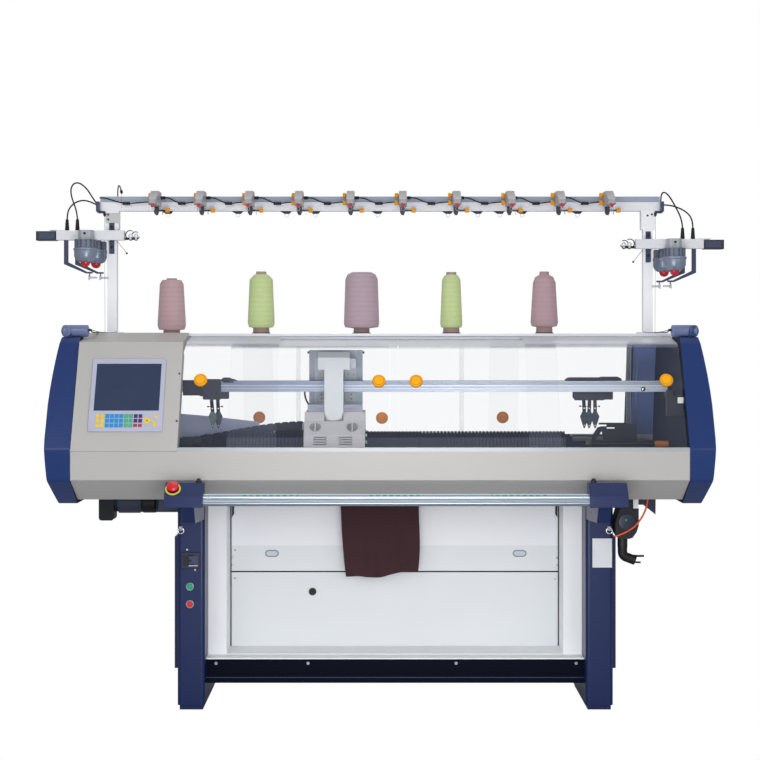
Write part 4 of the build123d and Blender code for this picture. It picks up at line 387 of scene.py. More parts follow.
def wound_yarn(name, code, tint):
    """Cross-wound yarn: two families of fine slanted strands round the cone."""
    paint = Paint(name)
    x, _, z = paint.axes()
    colour = rgb(code)
    strands = ((z * 4200.0 + x * 900.0).wave() + (z * 4200.0 - x * 900.0).wave()) * 0.25 + 0.5
    bands = (z * 330.0 + paint.noise(30.0, 2.0) * 3.0).wave() * 0.5 + 0.5
    cloud = paint.noise(60.0, 4.0)
    base = paint.blend(bands * 0.14 + cloud * 0.3 + 0.25, tuple(c * 0.8 for c in colour), rgb(tint))
    paint.set(Base_Color=paint.blend(strands * 0.35, base, tuple(c * 0.72 for c in colour)),
              Roughness=0.85, Sheen_Weight=0.2, Sheen_Roughness=0.4)
    paint.bump(strands * 0.7 + paint.noise(2600.0, 2.0) * 0.5, 0.5, 0.0008)
    return paint.material


def knitted(name, code):
    """Dark knitted cloth: columns of small stitches with soft shading between the folds."""
    paint = Paint(name)
    x, _, z = paint.axes()
    colour = rgb(code)
    wales = (x * 2600.0).wave() * 0.5 + 0.5
    courses = (z * 2200.0 + (x * 2600.0).wave() * 0.8).wave() * 0.5 + 0.5
    stitch = wales * 0.6 + courses * 0.4
    cloud = paint.noise(11.0, 4.0)
    paint.set(Base_Color=paint.blend(stitch * 0.5 + cloud * 0.4, tuple(c * 0.6 for c in colour),
                                     tuple(min(1.0, c * 1.35) for c in colour)),
              Roughness=0.9, Sheen_Weight=0.08, Sheen_Roughness=0.5)
    paint.bump(stitch, 0.6, 0.0008)
    return paint.material


def milled_beds(name, code, ridge):
    """Oiled steel of the needle beds: close tricks down the slopes and a darker ridge."""
    paint = Paint(name)
    x, _, z = paint.axes()
    colour = rgb(code)
    tricks = (x * 2 * math.pi * 545.0).wave().smooth(-0.2, 0.6)
    oil = paint.noise(8.0, 4.0)
    slope = paint.blend(tricks * 0.5 + oil * 0.25, tuple(c * 0.6 for c in colour), colour)
    paint.set(Base_Color=paint.blend(z.smooth(1.018, 1.024), slope, rgb(ridge)), Metallic=0.55,
              Roughness=oil * 0.25 + 0.3)
    paint.bump(tricks, 0.4, 0.0005)
    return paint.material


# Geometry helpers


def add_object(name, data, material, body, replaced=()):
    """Link an object, give it its material and let it ride on a body."""
    made = bpy.data.objects.new(name, data)
    bpy.context.scene.collection.objects.link(made)
    if material is not None:
        data.materials.clear()
        data.materials.append(material)
    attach(made, body)
    if replaced:
        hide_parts(*replaced)
    return made


def smooth_by_angle(mesh, degrees=35.0):
    mesh.polygons.foreach_set("use_smooth", [True] * len(mesh.polygons))
    mesh.set_sharp_from_angle(angle=math.radians(degrees))


def bevelled(made, width, segments=2, angle=40.0):
    """Rounded edges that catch the light."""
    bevel = made.modifiers.new("Rounded edges", "BEVEL")
    bevel.width = width * MM
    bevel.segments = segments
    bevel.limit_method = "ANGLE"
    bevel.angle_limit = math.radians(angle)
    bevel.harden_normals = True
    return made


def separate_solids(node):
    """Vertices and faces of each solid in a CAD node, where faces join only across plain edges."""
    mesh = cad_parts[node].data
    number = {}
    spots = []
    ids = []
    for vertex in mesh.vertices:
        key = tuple(round(c * 50000) for c in vertex.co)
        if key not in number:
            number[key] = len(spots)
            spots.append(vertex.co.copy())
        ids.append(number[key])
    faces = []
    for polygon in mesh.polygons:
        corners = []
        for index in polygon.vertices:
            if not corners or ids[index] not in corners:
                corners.append(ids[index])
        if len(corners) > 2:
            faces.append(tuple(corners))
    by_edge = {}
    for i, corners in enumerate(faces):
        for a, b in zip(corners, corners[1:] + corners[:1]):
            by_edge.setdefault((min(a, b), max(a, b)), []).append(i)
    parent = list(range(len(faces)))

    def root(i):
        while parent[i] != i:
            parent[i] = parent[parent[i]]
            i = parent[i]
        return i

    for users in by_edge.values():
        if len(users) == 2:
            parent[root(users[0])] = root(users[1])
    groups = {}
    for i, corners in enumerate(faces):
        groups.setdefault(root(i), []).append(corners)
    solids = []
    for members in groups.values():
        used = sorted({index for corners in members for index in corners})
        again = {index: i for i, index in enumerate(used)}
        shells = [[again[index] for index in corners] for corners in members]
        solids.append(([spots[index] for index in used], shells))
    return solids


class Solid:
    """One solid of a CAD node, with its middle and size in millimetres, Y counted from the needle gap."""

    def __init__(self, points, faces):
        self.points = points
        self.faces = faces
        low = [min(p[i] for p in points) / MM for i in range(3)]
        high = [max(p[i] for p in points) / MM for i in range(3)]
        low[1] -= SHIFT
        high[1] -= SHIFT
        self.low = Vector(low)
        self.high = Vector(high)
        self.middle = (self.low + self.high) / 2
        self.size = self.high - self.low


def dress(node, choose, body="base"):
    """Replace a CAD node by its own solids, each with the name, material and edge that choose gives.

    A solid for which choose gives nothing is left to another piece."""
    meshes = {}
    for points, faces in separate_solids(node):
        solid = Solid(points, faces)
        chosen = choose(solid)
        if chosen is None:
            continue
        label, material, width = chosen
        points_so_far, faces_so_far, _, _ = meshes.setdefault(label, ([], [], material, width))
        start = len(points_so_far)
        points_so_far += points
        faces_so_far += [[start + index for index in corners] for corners in faces]
    made = []
    for label, (points, faces, material, width) in meshes.items():
        mesh = bpy.data.meshes.new(label)
        mesh.from_pydata(points, [], faces)
        mesh.validate()
        tidy = bmesh.new()
        tidy.from_mesh(mesh)
        bmesh.ops.dissolve_limit(tidy, angle_limit=math.radians(0.5), verts=tidy.verts, edges=tidy.edges)
        tidy.to_mesh(mesh)
        tidy.free()
        smooth_by_angle(mesh)
        piece = add_object(label, mesh, material, body, [node])
        if width:
            bevelled(piece, width)
        made.append(piece)
    return made


def finish_node(node, material, width=0.0):
    """Give a CAD node its material and, where asked, rounded edges."""
    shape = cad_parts[node]
    shape.data.materials.clear()
    shape.data.materials.append(material)
    if width:
        bevelled(shape, width)


def lathe(name, outline, centre, axis, material, body, steps=32, width=0.0):
    """Turned piece from (radius, height) pairs in millimetres, along an axis from its centre."""
    mesh = bmesh.new()
    turn = Vector((0, 0, 1)).rotation_difference(Vector(axis)).to_matrix()
    rings = []
    for radius, height in outline:
        ring = []
        for i in range(steps):
            angle = 2 * math.pi * i / steps
            spot = Vector((radius * math.cos(angle), radius * math.sin(angle), height)) * MM
            ring.append(mesh.verts.new(turn @ spot + centre))
        rings.append(ring)
    for lower, upper in zip(rings, rings[1:]):
        for i in range(steps):
            mesh.faces.new((lower[i], lower[(i + 1) % steps], upper[(i + 1) % steps], upper[i]))
    mesh.faces.new(rings[0][::-1])
    mesh.faces.new(rings[-1])
    bmesh.ops.recalc_face_normals(mesh, faces=mesh.faces)
    data = bpy.data.meshes.new(name)
    mesh.to_mesh(data)
    mesh.free()
    smooth_by_angle(data)
    made = add_object(name, data, material, body)
    if width:
        bevelled(made, width)
    return made


def prism(name, outline, y0, y1, material, body, width=0.0, plane="XZ"):
    """Plate with an outline in the XZ plane (or YZ, or XY) between two depths, in millimetres."""
    mesh = bmesh.new()

    def spot(a, b, depth):
        if plane == "XZ":
            return place(a, depth, b)
        if plane == "YZ":
            return place(depth, a, b)
        return place(a, b, depth)

    front = [mesh.verts.new(spot(a, b, y0)) for a, b in outline]
    back = [mesh.verts.new(spot(a, b, y1)) for a, b in outline]
    mesh.faces.new(front)
    mesh.faces.new(back[::-1])
    count = len(outline)
    for i in range(count):
        mesh.faces.new((front[i], back[i], back[(i + 1) % count], front[(i + 1) % count]))
    bmesh.ops.recalc_face_normals(mesh, faces=mesh.faces)
    data = bpy.data.meshes.new(name)
    mesh.to_mesh(data)
    mesh.free()
    smooth_by_angle(data)
    made = add_object(name, data, material, body)
    if width:
        bevelled(made, width)
    return made


def plate(name, x0, x1, z0, z1, y0, y1, material, body="base", width=0.0):
    """Rectangular plate that faces the front."""
    return prism(name, ((x0, z0), (x0, z1), (x1, z1), (x1, z0)), y0, y1, material, body, width)


def stadium(x, z, width, height, steps=10):
    """Outline of a slot with round ends about a point."""
    radius = height / 2
    points = []
    for side in (1, -1):
        for i in range(steps + 1):
            angle = math.pi * (i / steps - 0.5)
            points.append((x + side * (width / 2 - radius + radius * math.cos(angle)),
                           z + side * radius * math.sin(angle)))
    return points


def screw(name, x, y, z, radius, material, body="base"):
    """Pan-head screw on a front face."""
    outline = ((radius, 0.0), (radius, radius * 0.3), (radius * 0.7, radius * 0.55))
    return lathe(name, outline, place(x, y, z), (0, -1, 0), material, body, 16)


def wire(name, points, thick, material, body, smooth=True):
    """Round wire or lead through points in millimetres."""
    curve = bpy.data.curves.new(name, "CURVE")
    curve.dimensions = "3D"
    curve.bevel_depth = thick / 2 * MM
    curve.bevel_resolution = 3
    curve.resolution_u = 8
    curve.use_fill_caps = True
    spline = curve.splines.new("NURBS" if smooth else "POLY")
    spline.points.add(len(points) - 1)
    for slot, point in zip(spline.points, points):
        slot.co = (*place(*point), 1.0)
    if smooth:
        spline.order_u = 3
        spline.use_endpoint_u = True
    return add_object(name, curve, material, body)


# Finishes: maker, colour and settings of each

FINISHES = {
    "navy paint": (painted, "122453", {"roughness": 0.34, "dusty": 0.02}),
    # Painted shade: a darker copy of the navy paint for the lower beam.
    "beam navy": (painted, "070c1c", {"roughness": 0.5, "coat": 0.0, "dusty": 0.02, "shine": 0.05}),
    "navy moulding": (end_moulding, "18336c", {"inner": "0f1e3a"}),
    "beige paint": (painted, "b5b4b2", {"roughness": 0.38, "dusty": 0.02}),
    "white paint": (painted, "f8fafd", {"roughness": 0.4, "dusty": 0.02}),
    "beam line": (painted, "24345c", {"roughness": 0.4}),
    "rail grey": (painted, "a9aeb2", {"roughness": 0.34, "metallic": 0.2}),
    "plate slate": (painted, "616d8c", {"roughness": 0.4}),
    "pocket slate": (painted, "8b94a3", {"roughness": 0.45}),
    "pocket pale": (painted, "cfd5de", {"roughness": 0.45}),
    "rail pale": (painted, "dfe2ea", {"roughness": 0.3}),
    "bay panels": (liner_sheet, "e1e5e8", {"upper": "eff1f6", "pocket": "7f8896"}),
    "table paint": (painted, "f6f6f9", {"roughness": 0.14, "coat": 0.6, "dusty": 0.02}),
    "pale post": (painted, "f6f8fc", {"roughness": 0.3}),
    "post plate": (painted, "c6c8c8", {"roughness": 0.35}),
    "carriage arch": (arch_casting, "b4bcc6", {"flange_shade": "98a4b0", "band": "85889a"}),
    "carriage plates": (painted, "ccd4dc", {"roughness": 0.35}),
    "carriage white": (painted, "d8dee2", {"roughness": 0.34}),
    "cam cover beige": (painted, "d2d1d5", {"roughness": 0.4, "dusty": 0.03}),
    "lamp blue": (painted, "6a769f", {"roughness": 0.22, "coat": 0.3, "dusty": 0.03}),
    "lamp navy": (painted, "344a78", {"roughness": 0.24, "coat": 0.2, "dusty": 0.02}),
    "feeder head": (painted, "a9aeb6", {"roughness": 0.36, "metallic": 0.2}),
    "feeder drum": (painted, "6f7789", {"roughness": 0.4, "metallic": 0.2}),
    "feeder bowl": (painted, "8792a6", {"roughness": 0.3, "metallic": 0.3}),
    "feeder rail": (painted, "dfe1e7", {"roughness": 0.32, "metallic": 0.1}),
    "unit case": (painted, "aaa9ad", {"roughness": 0.38, "metallic": 0.15}),
    "slate paint": (painted, "3a4260", {"roughness": 0.36}),
    "dark slate": (painted, "262c42", {"roughness": 0.38}),
    "black paint": (painted, "1a1c26", {"roughness": 0.4}),
    "motor slate": (painted, "3b4256", {"roughness": 0.42, "dusty": 0.02}),
    "motor black": (painted, "161921", {"roughness": 0.5, "dusty": 0.02}),
    "blue sheet": (painted, "ccd6f4", {"roughness": 0.3}),
    # The top channel's darker colour above 1951 mm is painted shade on its sloping upper face.
    "top channel": (split_colour, "e8eaf0", {"other": "98a3b6", "axis": 2, "limit": 1951.0, "metallic": 0.1}),
    "aluminium": (brushed, "cfd2d6", {"roughness": 0.34}),
    "guide rails": (rail_metal, "8b96ac", {"bright": "c9d3e0"}),
    "start bar": (bar_with_marks, "b4c0cc", {"mark": "0f7d63"}),
    "steel": (brushed, "a4a7ad", {"roughness": 0.3}),
    "dark steel": (brushed, "4a4d54", {"roughness": 0.38}),
    "blued steel": (brushed, "2b2f3d", {"roughness": 0.4}),
    "carrier blade": (painted, "5f6c6c", {"roughness": 0.36, "metallic": 0.4}),
    "dark blade": (painted, "3a3f4d", {"roughness": 0.36, "metallic": 0.4}),
    "carrier black": (painted, "2d3040", {"roughness": 0.42}),
    "chrome": (brushed, "dcdfe3", {"roughness": 0.14, "strength": 0.02}),
    "needle beds": (milled_beds, "6b7182", {"ridge": "24283a"}),
    "black plastic": (moulded, "1c1d20", {}),
    "chain plastic": (moulded, "3c4050", {"roughness": 0.5}),
    "grey plastic": (moulded, "a9aab4", {}),
    "blank label": (moulded, "d9dbe2", {"roughness": 0.3}),
    "bezel": (moulded, "b4b7cc", {"roughness": 0.4}),
    "white plastic": (moulded, "ececea", {"roughness": 0.35}),
    "rubber": (moulded, "16171a", {"roughness": 0.55}),
    "yellow plastic": (moulded, "f0a000", {"roughness": 0.32}),
    "knob face": (moulded, "f7ac08", {"roughness": 0.3}),
    # Painted shade: the darker yellow of the knob's recessed ring.
    "knob groove": (moulded, "c87c04", {"roughness": 0.4}),
    "collar yellow": (moulded, "ddd04c", {"roughness": 0.4}),
    # The orange plastic's emission is painted light on the shaded rear knobs.
    "orange plastic": (moulded, "e09044", {"roughness": 0.4, "painted_glow": 0.35}),
    "sleeve orange": (moulded, "e0861c", {"roughness": 0.35}),
    "cable orange": (moulded, "ea5f38", {"roughness": 0.4}),
    "red plastic": (moulded, "d21d2b", {"roughness": 0.25, "coat": 0.4}),
    "lamp red": (moulded, "cf2340", {"roughness": 0.2, "coat": 0.5}),
    "green plastic": (moulded, "12a078", {"roughness": 0.3}),
    "key yellow": (moulded, "e6c93e", {"roughness": 0.5}),
    "key blue": (moulded, "1e8fd2", {"roughness": 0.5}),
    "key green": (moulded, "4fab84", {"roughness": 0.5}),
    "key purple": (moulded, "4b2a6e", {"roughness": 0.5}),
    "key red": (moulded, "a83a4c", {"roughness": 0.5}),
    "ceramic": (moulded, "c9ccd4", {"roughness": 0.15, "coat": 0.5}),
    "screen glass": (moulded, "303c57", {"roughness": 0.16, "strength": 0.0}),
    "pad green": (moulded, "2f3d40", {"roughness": 0.5}),
    "clear hood": (clear_sheet, "b4bed8", {"alpha": 0.022}),
    "frosted post": (clear_sheet, "dfe3ee", {"alpha": 0.14}),
    "dark panel": (painted, "7389c4", {"roughness": 0.3}),
    "pink yarn": (wound_yarn, "b6979c", {"tint": "ccaeb2"}),
    "green yarn": (wound_yarn, "bcd08c", {"tint": "d5e4ab"}),
    "mauve yarn": (wound_yarn, "ac96a2", {"tint": "c4aeb9"}),
    "rose yarn": (wound_yarn, "ae9099", {"tint": "c5a7af"}),
    "cone tube": (moulded, "a88e8c", {"roughness": 0.5}),
    "knitted cloth": (knitted, "3d1f27", {}),
}
# Finishes whose colour is a setting of the add-on
USER_COLOURS = {"navy paint": "body_colour", "navy moulding": "end_colour", "beige paint": "cover_colour"}
made_finishes = {}


def finish(name):
    """The material of a finish, made once."""
    if name not in made_finishes:
        maker, code, settings = FINISHES[name]
        if name in USER_COLOURS:
            code = getattr(bpy.context.scene.knit_finish, USER_COLOURS[name])
        made_finishes[name] = maker(name.replace(" ", "_"), code, **settings)
    return made_finishes[name]


# Routes of the four leads, in millimetres, from strain relief to end bracket
LEAD_ROUTES = (
    ((-1246.0, 116.0, 1881.0), (-1245.0, 116.0, 1906.0), (-1235.0, 118.0, 1931.0), (-1214.0, 121.0, 1950.0),
     (-1186.0, 126.0, 1959.0), (-1157.0, 133.0, 1954.0), (-1129.0, 140.0, 1940.0)),
    ((-1203.0, 106.0, 1881.0), (-1205.0, 104.0, 1908.0), (-1214.0, 100.0, 1938.0), (-1225.0, 97.0, 1969.0),
     (-1229.0, 99.0, 2001.0), (-1218.0, 105.0, 2025.0), (-1194.0, 111.0, 2027.0), (-1166.0, 117.0, 2002.0),
     (-1147.0, 122.0, 1970.0), (-1129.0, 126.0, 1944.0)),
    ((1203.0, 106.0, 1847.0), (1200.0, 103.0, 1873.0), (1189.0, 97.0, 1900.0), (1174.0, 92.0, 1927.0),
     (1160.0, 91.0, 1952.0), (1147.0, 97.0, 1974.0), (1136.0, 110.0, 1988.0), (1127.0, 129.0, 1990.0),
     (1123.0, 142.0, 1975.0), (1123.0, 145.0, 1952.0)),
    ((1246.0, 116.0, 1847.0), (1245.0, 116.0, 1873.0), (1234.0, 118.0, 1898.0), (1213.0, 122.0, 1917.0),
     (1187.0, 127.0, 1930.0), (1159.0, 132.0, 1939.0), (1129.0, 136.0, 1941.0)),
)
LEAD_LENGTHS = (0.171, 0.279, 0.226, 0.171)


class KnitStageSettings(bpy.types.PropertyGroup):
    """Studio round the machine."""

    distance: bpy.props.FloatProperty(name="Camera distance", description="Camera to the needle gap",
                                      default=6.4, unit="LENGTH")
    height: bpy.props.FloatProperty(name="Camera height", description="Height of the lens above the floor",
                                    default=1.421, unit="LENGTH")
    light: bpy.props.FloatProperty(name="Light", description="Strength of the soft lights", default=0.42)
    ambient: bpy.props.FloatProperty(name="Ambient", description="Strength of the white surroundings",
                                     default=0.48)


class KnitFinishSettings(bpy.types.PropertyGroup):
    """Main colours and small sizes of the dressed machine."""

    body_colour: bpy.props.FloatVectorProperty(name="Body paint", description="Colour of the legs and brackets",
                                               default=rgb(FINISHES["navy paint"][1]), subtype="COLOR")
    end_colour: bpy.props.FloatVectorProperty(name="End covers", description="Colour of the two end mouldings",
                                              default=rgb(FINISHES["navy moulding"][1]), subtype="COLOR")
    cover_colour: bpy.props.FloatVectorProperty(name="Covers", description="Colour of the covers and control box",
                                                default=rgb(FINISHES["beige paint"][1]), subtype="COLOR")

    edge: bpy.props.FloatProperty(name="Sheet edge", description="Rounding of folded sheet edges in millimetres",
                                  default=1.5)
    lead: bpy.props.FloatProperty(name="Lead diameter", description="Diameter of the feeder leads in millimetres",
                                  default=6.0)


class KNIT_OT_stage(bpy.types.Operator):
    """Camera, floor and soft lights"""

    bl_idname = "knit.stage"
    bl_label = "Studio"

    def execute(self, context):
        settings = context.scene.knit_stage
        camera = bpy.data.cameras.new("Camera")
        camera.lens = LENS
        camera.sensor_width = SENSOR
        camera.shift_y = LENS_SHIFT
        camera.clip_end = 100.0
        eye = bpy.data.objects.new("Camera", camera)
        eye.location = (0.0, SHIFT * MM - settings.distance, settings.height)
        eye.rotation_euler = (math.radians(90), 0.0, 0.0)
        context.scene.collection.objects.link(eye)
        context.scene.camera = eye
        mesh = bpy.data.meshes.new("Floor")
        mesh.from_pydata([(-30, -30, 0), (30, -30, 0), (30, 30, 0), (-30, 30, 0)], [], [(0, 1, 2, 3)])
        floor = bpy.data.objects.new("Floor", mesh)
        context.scene.collection.objects.link(floor)
        paint = Paint("studio_floor")
        paint.set(Base_Color=(0.5, 0.5, 0.52), Roughness=0.9)
        nodes = paint.tree.nodes
        links = paint.tree.links
        white = nodes.new("ShaderNodeEmission")
        seen = nodes.new("ShaderNodeLightPath")
        mix = nodes.new("ShaderNodeMixShader")
        links.new(seen.outputs["Is Camera Ray"], mix.inputs[0])
        links.new(paint.shader.outputs[0], mix.inputs[1])
        links.new(white.outputs[0], mix.inputs[2])
        links.new(mix.outputs[0], paint.output.inputs[0])
        mesh.materials.append(paint.material)
        world = bpy.data.worlds.new("Studio")
        world.use_nodes = True
        nodes = world.node_tree.nodes
        links = world.node_tree.links
        sky = nodes["Background"]
        sky.inputs["Color"].default_value = (1.0, 1.0, 1.0, 1.0)
        sky.inputs["Strength"].default_value = settings.ambient
        wall = nodes.new("ShaderNodeBackground")
        wall.inputs["Color"].default_value = (1.0, 1.0, 1.0, 1.0)
        seen = nodes.new("ShaderNodeLightPath")
        mix = nodes.new("ShaderNodeMixShader")
        links.new(seen.outputs["Is Camera Ray"], mix.inputs[0])
        links.new(sky.outputs[0], mix.inputs[1])
        links.new(wall.outputs[0], mix.inputs[2])
        links.new(mix.outputs[0], nodes["World Output"].inputs[0])
        context.scene.world = world
        for name, spot, aim, size, power in STUDIO_LAMPS:
            lamp = bpy.data.lights.new(name, "AREA")
            lamp.size = size
            lamp.energy = power * settings.light
            holder = bpy.data.objects.new(name, lamp)
            holder.location = spot
            holder.rotation_euler = (Vector(aim) - Vector(spot)).to_track_quat("-Z", "Y").to_euler()
            context.scene.collection.objects.link(holder)
        context.scene.view_settings.view_transform = "Standard"
        return {"FINISHED"}


class KNIT_OT_leads(bpy.types.Operator):
    """The four free leads from the yarn feeders to the top bar"""

    bl_idname = "knit.leads"
    bl_label = "Feeder leads"

    def execute(self, context):
        thick = context.scene.knit_finish.lead
        for i, (route, length) in enumerate(zip(LEAD_ROUTES, LEAD_LENGTHS)):
            lead = wire(f"feeder_lead_{i + 1}_skin", route, thick, finish("rubber"), "base")
            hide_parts(f"feeder_lead_{i + 1}")
            place(*route[0])
        return {"FINISHED"}


class KNIT_OT_body(bpy.types.Operator):
    """Legs, covers, beam, bay liner and brackets"""

    bl_idname = "knit.body"
    bl_label = "Body"

    def execute(self, context):
        edge = context.scene.knit_finish.edge
        for node, name, width in (
                ("left_leg", "navy paint", 0.0), ("right_leg", "navy paint", 0.0),
                # The lower beam's near-black navy is painted shade.
                ("lower_beam", "beam navy", 1.2),
                ("front_cover", "beige paint", 0.0), ("rear_cover", "beige paint", 0.0),
                ("control_box", "beige paint", edge)):
            finish_node(node, finish(name), width)
        dress("hood_rails", lambda s: ("upper_hood_rails", finish("rail pale"), 0.0) if s.middle.z > 1200 else
              ("lower_hood_rails", finish("rail grey"), 0.0))
        dress("yarn_table", lambda s: ("yarn_table_top", finish("table paint"), 0.0) if s.size.x > 1000 else
              ("yarn_table_posts", finish("frosted post"), 0.0))
        dress("bed_frame", lambda s: ("carriage_guides", finish("steel"), 0.0) if s.size.x > 1000 and s.size.y < 30
              else ("main_frame", finish("dark slate"), 0.0))
        dress("end_covers", lambda s: ("end_mouldings", finish("navy moulding"), 3.0) if s.size.y > 200 else
              ("end_lamps", finish("lamp blue"), 1.5))
        dress("bay_liner", lambda s: ("grommet_ring", finish("black plastic"), 0.0) if s.size.x < 60 else
              (("liner_columns", finish("white paint"), 1.0) if s.size.y > 20 else
               ("liner_panels", finish("bay panels"), 0.8)))
        dress("bar_brackets", lambda s: ("bracket_screws", finish("black plastic"), 0.8) if s.size.x < 60 else
              ("bracket_castings", finish("navy paint"), 3.0))
        dress("fasteners", lambda s: ("screw_heads", finish("steel"), 0.5) if s.middle.z < 900 else
              ("box_screws", finish("black plastic"), 0.3))
        self.lamp_fittings()
        self.bay_fittings()
        self.beam_lip()
        return {"FINISHED"}

    def lamp_fittings(self):
        """Caps, lenses, feet and cable glands of the two end lamps, and their leads along the table."""
        for side in (-1, 1):
            tag = "right" if side > 0 else "left"
            lathe(f"lamp_cap_{tag}", ((19.5, 0.0), (19.5, 0.6), (17.5, 1.2)), place(side * 1200, -205, 1436.5),
                  (side, 0, 0), finish("slate paint"), "base")
            # The right lens's darker blue is painted shade; the left lens has the lamp's own blue.
            lathe(f"lamp_lens_{tag}", ((22.0, 0.0), (22.0, 5.0), (19.0, 7.0)), place(side * 1184, -220, 1436),
                  (side * 0.45, -0.89, 0), finish("lamp blue" if side < 0 else "lamp navy"), "base", 32, 1.0)
            plate(f"lamp_foot_{tag}", side * 1164, side * 1176, 1414, 1426, -229.5, -226.0,
                  finish("dark slate"), "base", 0.6)
            lathe(f"lamp_gland_{tag}", ((5.0, 0.0), (5.0, 6.0), (3.0, 12.0)), place(side * 1103, -205, 1440),
                  (-side, 0, 0), finish("rubber"), "base", 12)
            over = ((side * 1092, -205, 1440), (side * 1084, -190, 1437), (side * 1076, -120, 1432),
                    (side * 1064, -20, 1430.5), (side * 1054, 80, 1430.5), (side * 1050, 118, 1434))
            wire(f"lamp_lead_{tag}", over, 2.6, finish("slate paint"), "base")
            thick = ((side * 1094, -202, 1437), (side * 1096, -170, 1430), (side * 1090, -60, 1431),
                     (side * 1098, 40, 1430.5), (side * 1094, 125, 1431))
            wire(f"lamp_sleeve_{tag}", thick, 5.0, finish("dark slate"), "base")

    def bay_fittings(self):
        """Seals and guides beside the back panels, the joint between them, the grommet's plug, and plates of
        painted shade in the grips.
        """
        for side, x in ((1, -592.0), (-1, 708.0)):
            tag = "left" if side > 0 else "right"
            plate(f"panel_seal_{tag}", x, x + side * 4, 191, 858, 76.5, 80.0, finish("rubber"))
            outline = ((x + side * 7, 700), (x + side * 7, 858), (x + side * 14, 858), (x + side * 14, 712))
            prism(f"panel_guide_{tag}", outline, 72.0, 80.0, finish("rubber"), "base")
        plate("panel_joint", -595, 711, 481, 487, 82.5, 86.0, finish("rubber"))
        lathe("grommet_plug", ((8.0, 0.0), (8.0, 3.0), (6.5, 4.5)), place(-267, 83, 405), (0, -1, 0),
              finish("rubber"), "base", 24)
        # Painted shade: a darker rim plate and a lighter floor plate fill each grip pocket.
        for x in (-428, 553):
            tag = "left" if x < 0 else "right"
            for label, width, height, colour, front in (("rim", 55, 28, "pocket slate", 79.6),
                                                        ("floor", 44, 18, "pocket pale", 79.3)):
                prism(f"grip_{label}_{tag}", stadium(x, 556, width, height), front, 80.2, finish(colour), "base")
        prism("panel_slot_left", ((-576, 566), (-576, 571), (-574, 574), (-572, 571), (-572, 566)), 79.4, 80.0,
              finish("slate paint"), "base")


    def beam_lip(self):
        """White floor lip over the lower beam, and the fold along the beam's lower part."""
        plate("floor_lip", -664, 780, 182.5, 187.5, -151.0, -79.0, finish("white paint"), "base", 0.6)
        plate("beam_fold", -664, 780, 111, 114.5, -150.6, -149.0, finish("beam line"), "base", 0.2)


class KNIT_OT_hoods(bpy.types.Operator):
    """Clear hoods with their knobs, the fixed pane, the dark end panels and their frame strips"""

    bl_idname = "knit.hoods"
    bl_label = "Hoods"

    def execute(self, context):
        for i in range(4):
            name = f"front_hood_{i + 1}"
            made = dress(name, lambda s: (name + "_knob", finish("yellow plastic"), 2.0) if s.size.x < 60 else
                         (name + "_pane", finish("clear hood"), 0.0), name)
            knob = next(piece for piece in made if piece.name.startswith(name + "_knob"))
            self.knob_face(name, knob)
        for i in range(3):
            name = f"rear_hood_{i + 1}"
            dress(name, lambda s: (name + "_knob", finish("orange plastic"), 2.0) if s.size.x < 60 else
                  (name + "_pane", finish("clear hood"), 0.0), name)
        finish_node("rear_fixed_pane", finish("clear hood"))
        finish_node("rear_end_panels", finish("dark panel"))
        self.frame_strips()
        return {"FINISHED"}

    def knob_face(self, name, knob):
        """Grooved disc on the outer face of a knob, square to the slanted pane; the outer ring's darker yellow is
        painted shade.
        """
        reach = max(vertex.co.dot(HOOD_OUTWARD) for vertex in knob.data.vertices)
        rim = [vertex.co for vertex in knob.data.vertices if vertex.co.dot(HOOD_OUTWARD) > reach - 0.3 * MM]
        centre = sum(rim, Vector()) / len(rim)
        for part, outline in (("groove", ((18.6, -0.5), (18.6, 0.4), (17.0, 0.5))),
                              ("face", ((17.0, -0.5), (17.0, 0.9), (15.5, 1.5)))):
            lathe(f"{name}_{part}", outline, centre, HOOD_OUTWARD, finish("knob " + part), name)

    def frame_strips(self):
        """Strip, seal and thin edge at the joint between the fixed rear pane and the right end panel."""
        outline = ((369.0, 1007.0), (287.5, 1371.0), (242.5, 1394.5),
                   (241.0, 1391.5), (284.5, 1368.5), (366.0, 1007.0))
        for part, forward, x0, x1, colour, width in (("strip", 0.0, 1008.0, 1030.0, "plate slate", 0.5),
                                                     ("seal", 1.0, 1030.0, 1050.0, "rubber", 0.3),
                                                     ("edge", 2.0, 1050.0, 1054.0, "aluminium", 0.3)):
            moved = tuple((y - forward, z) for y, z in outline)
            prism("rear_frame_" + part, moved, x0, x1, finish(colour), "base", width, "YZ")


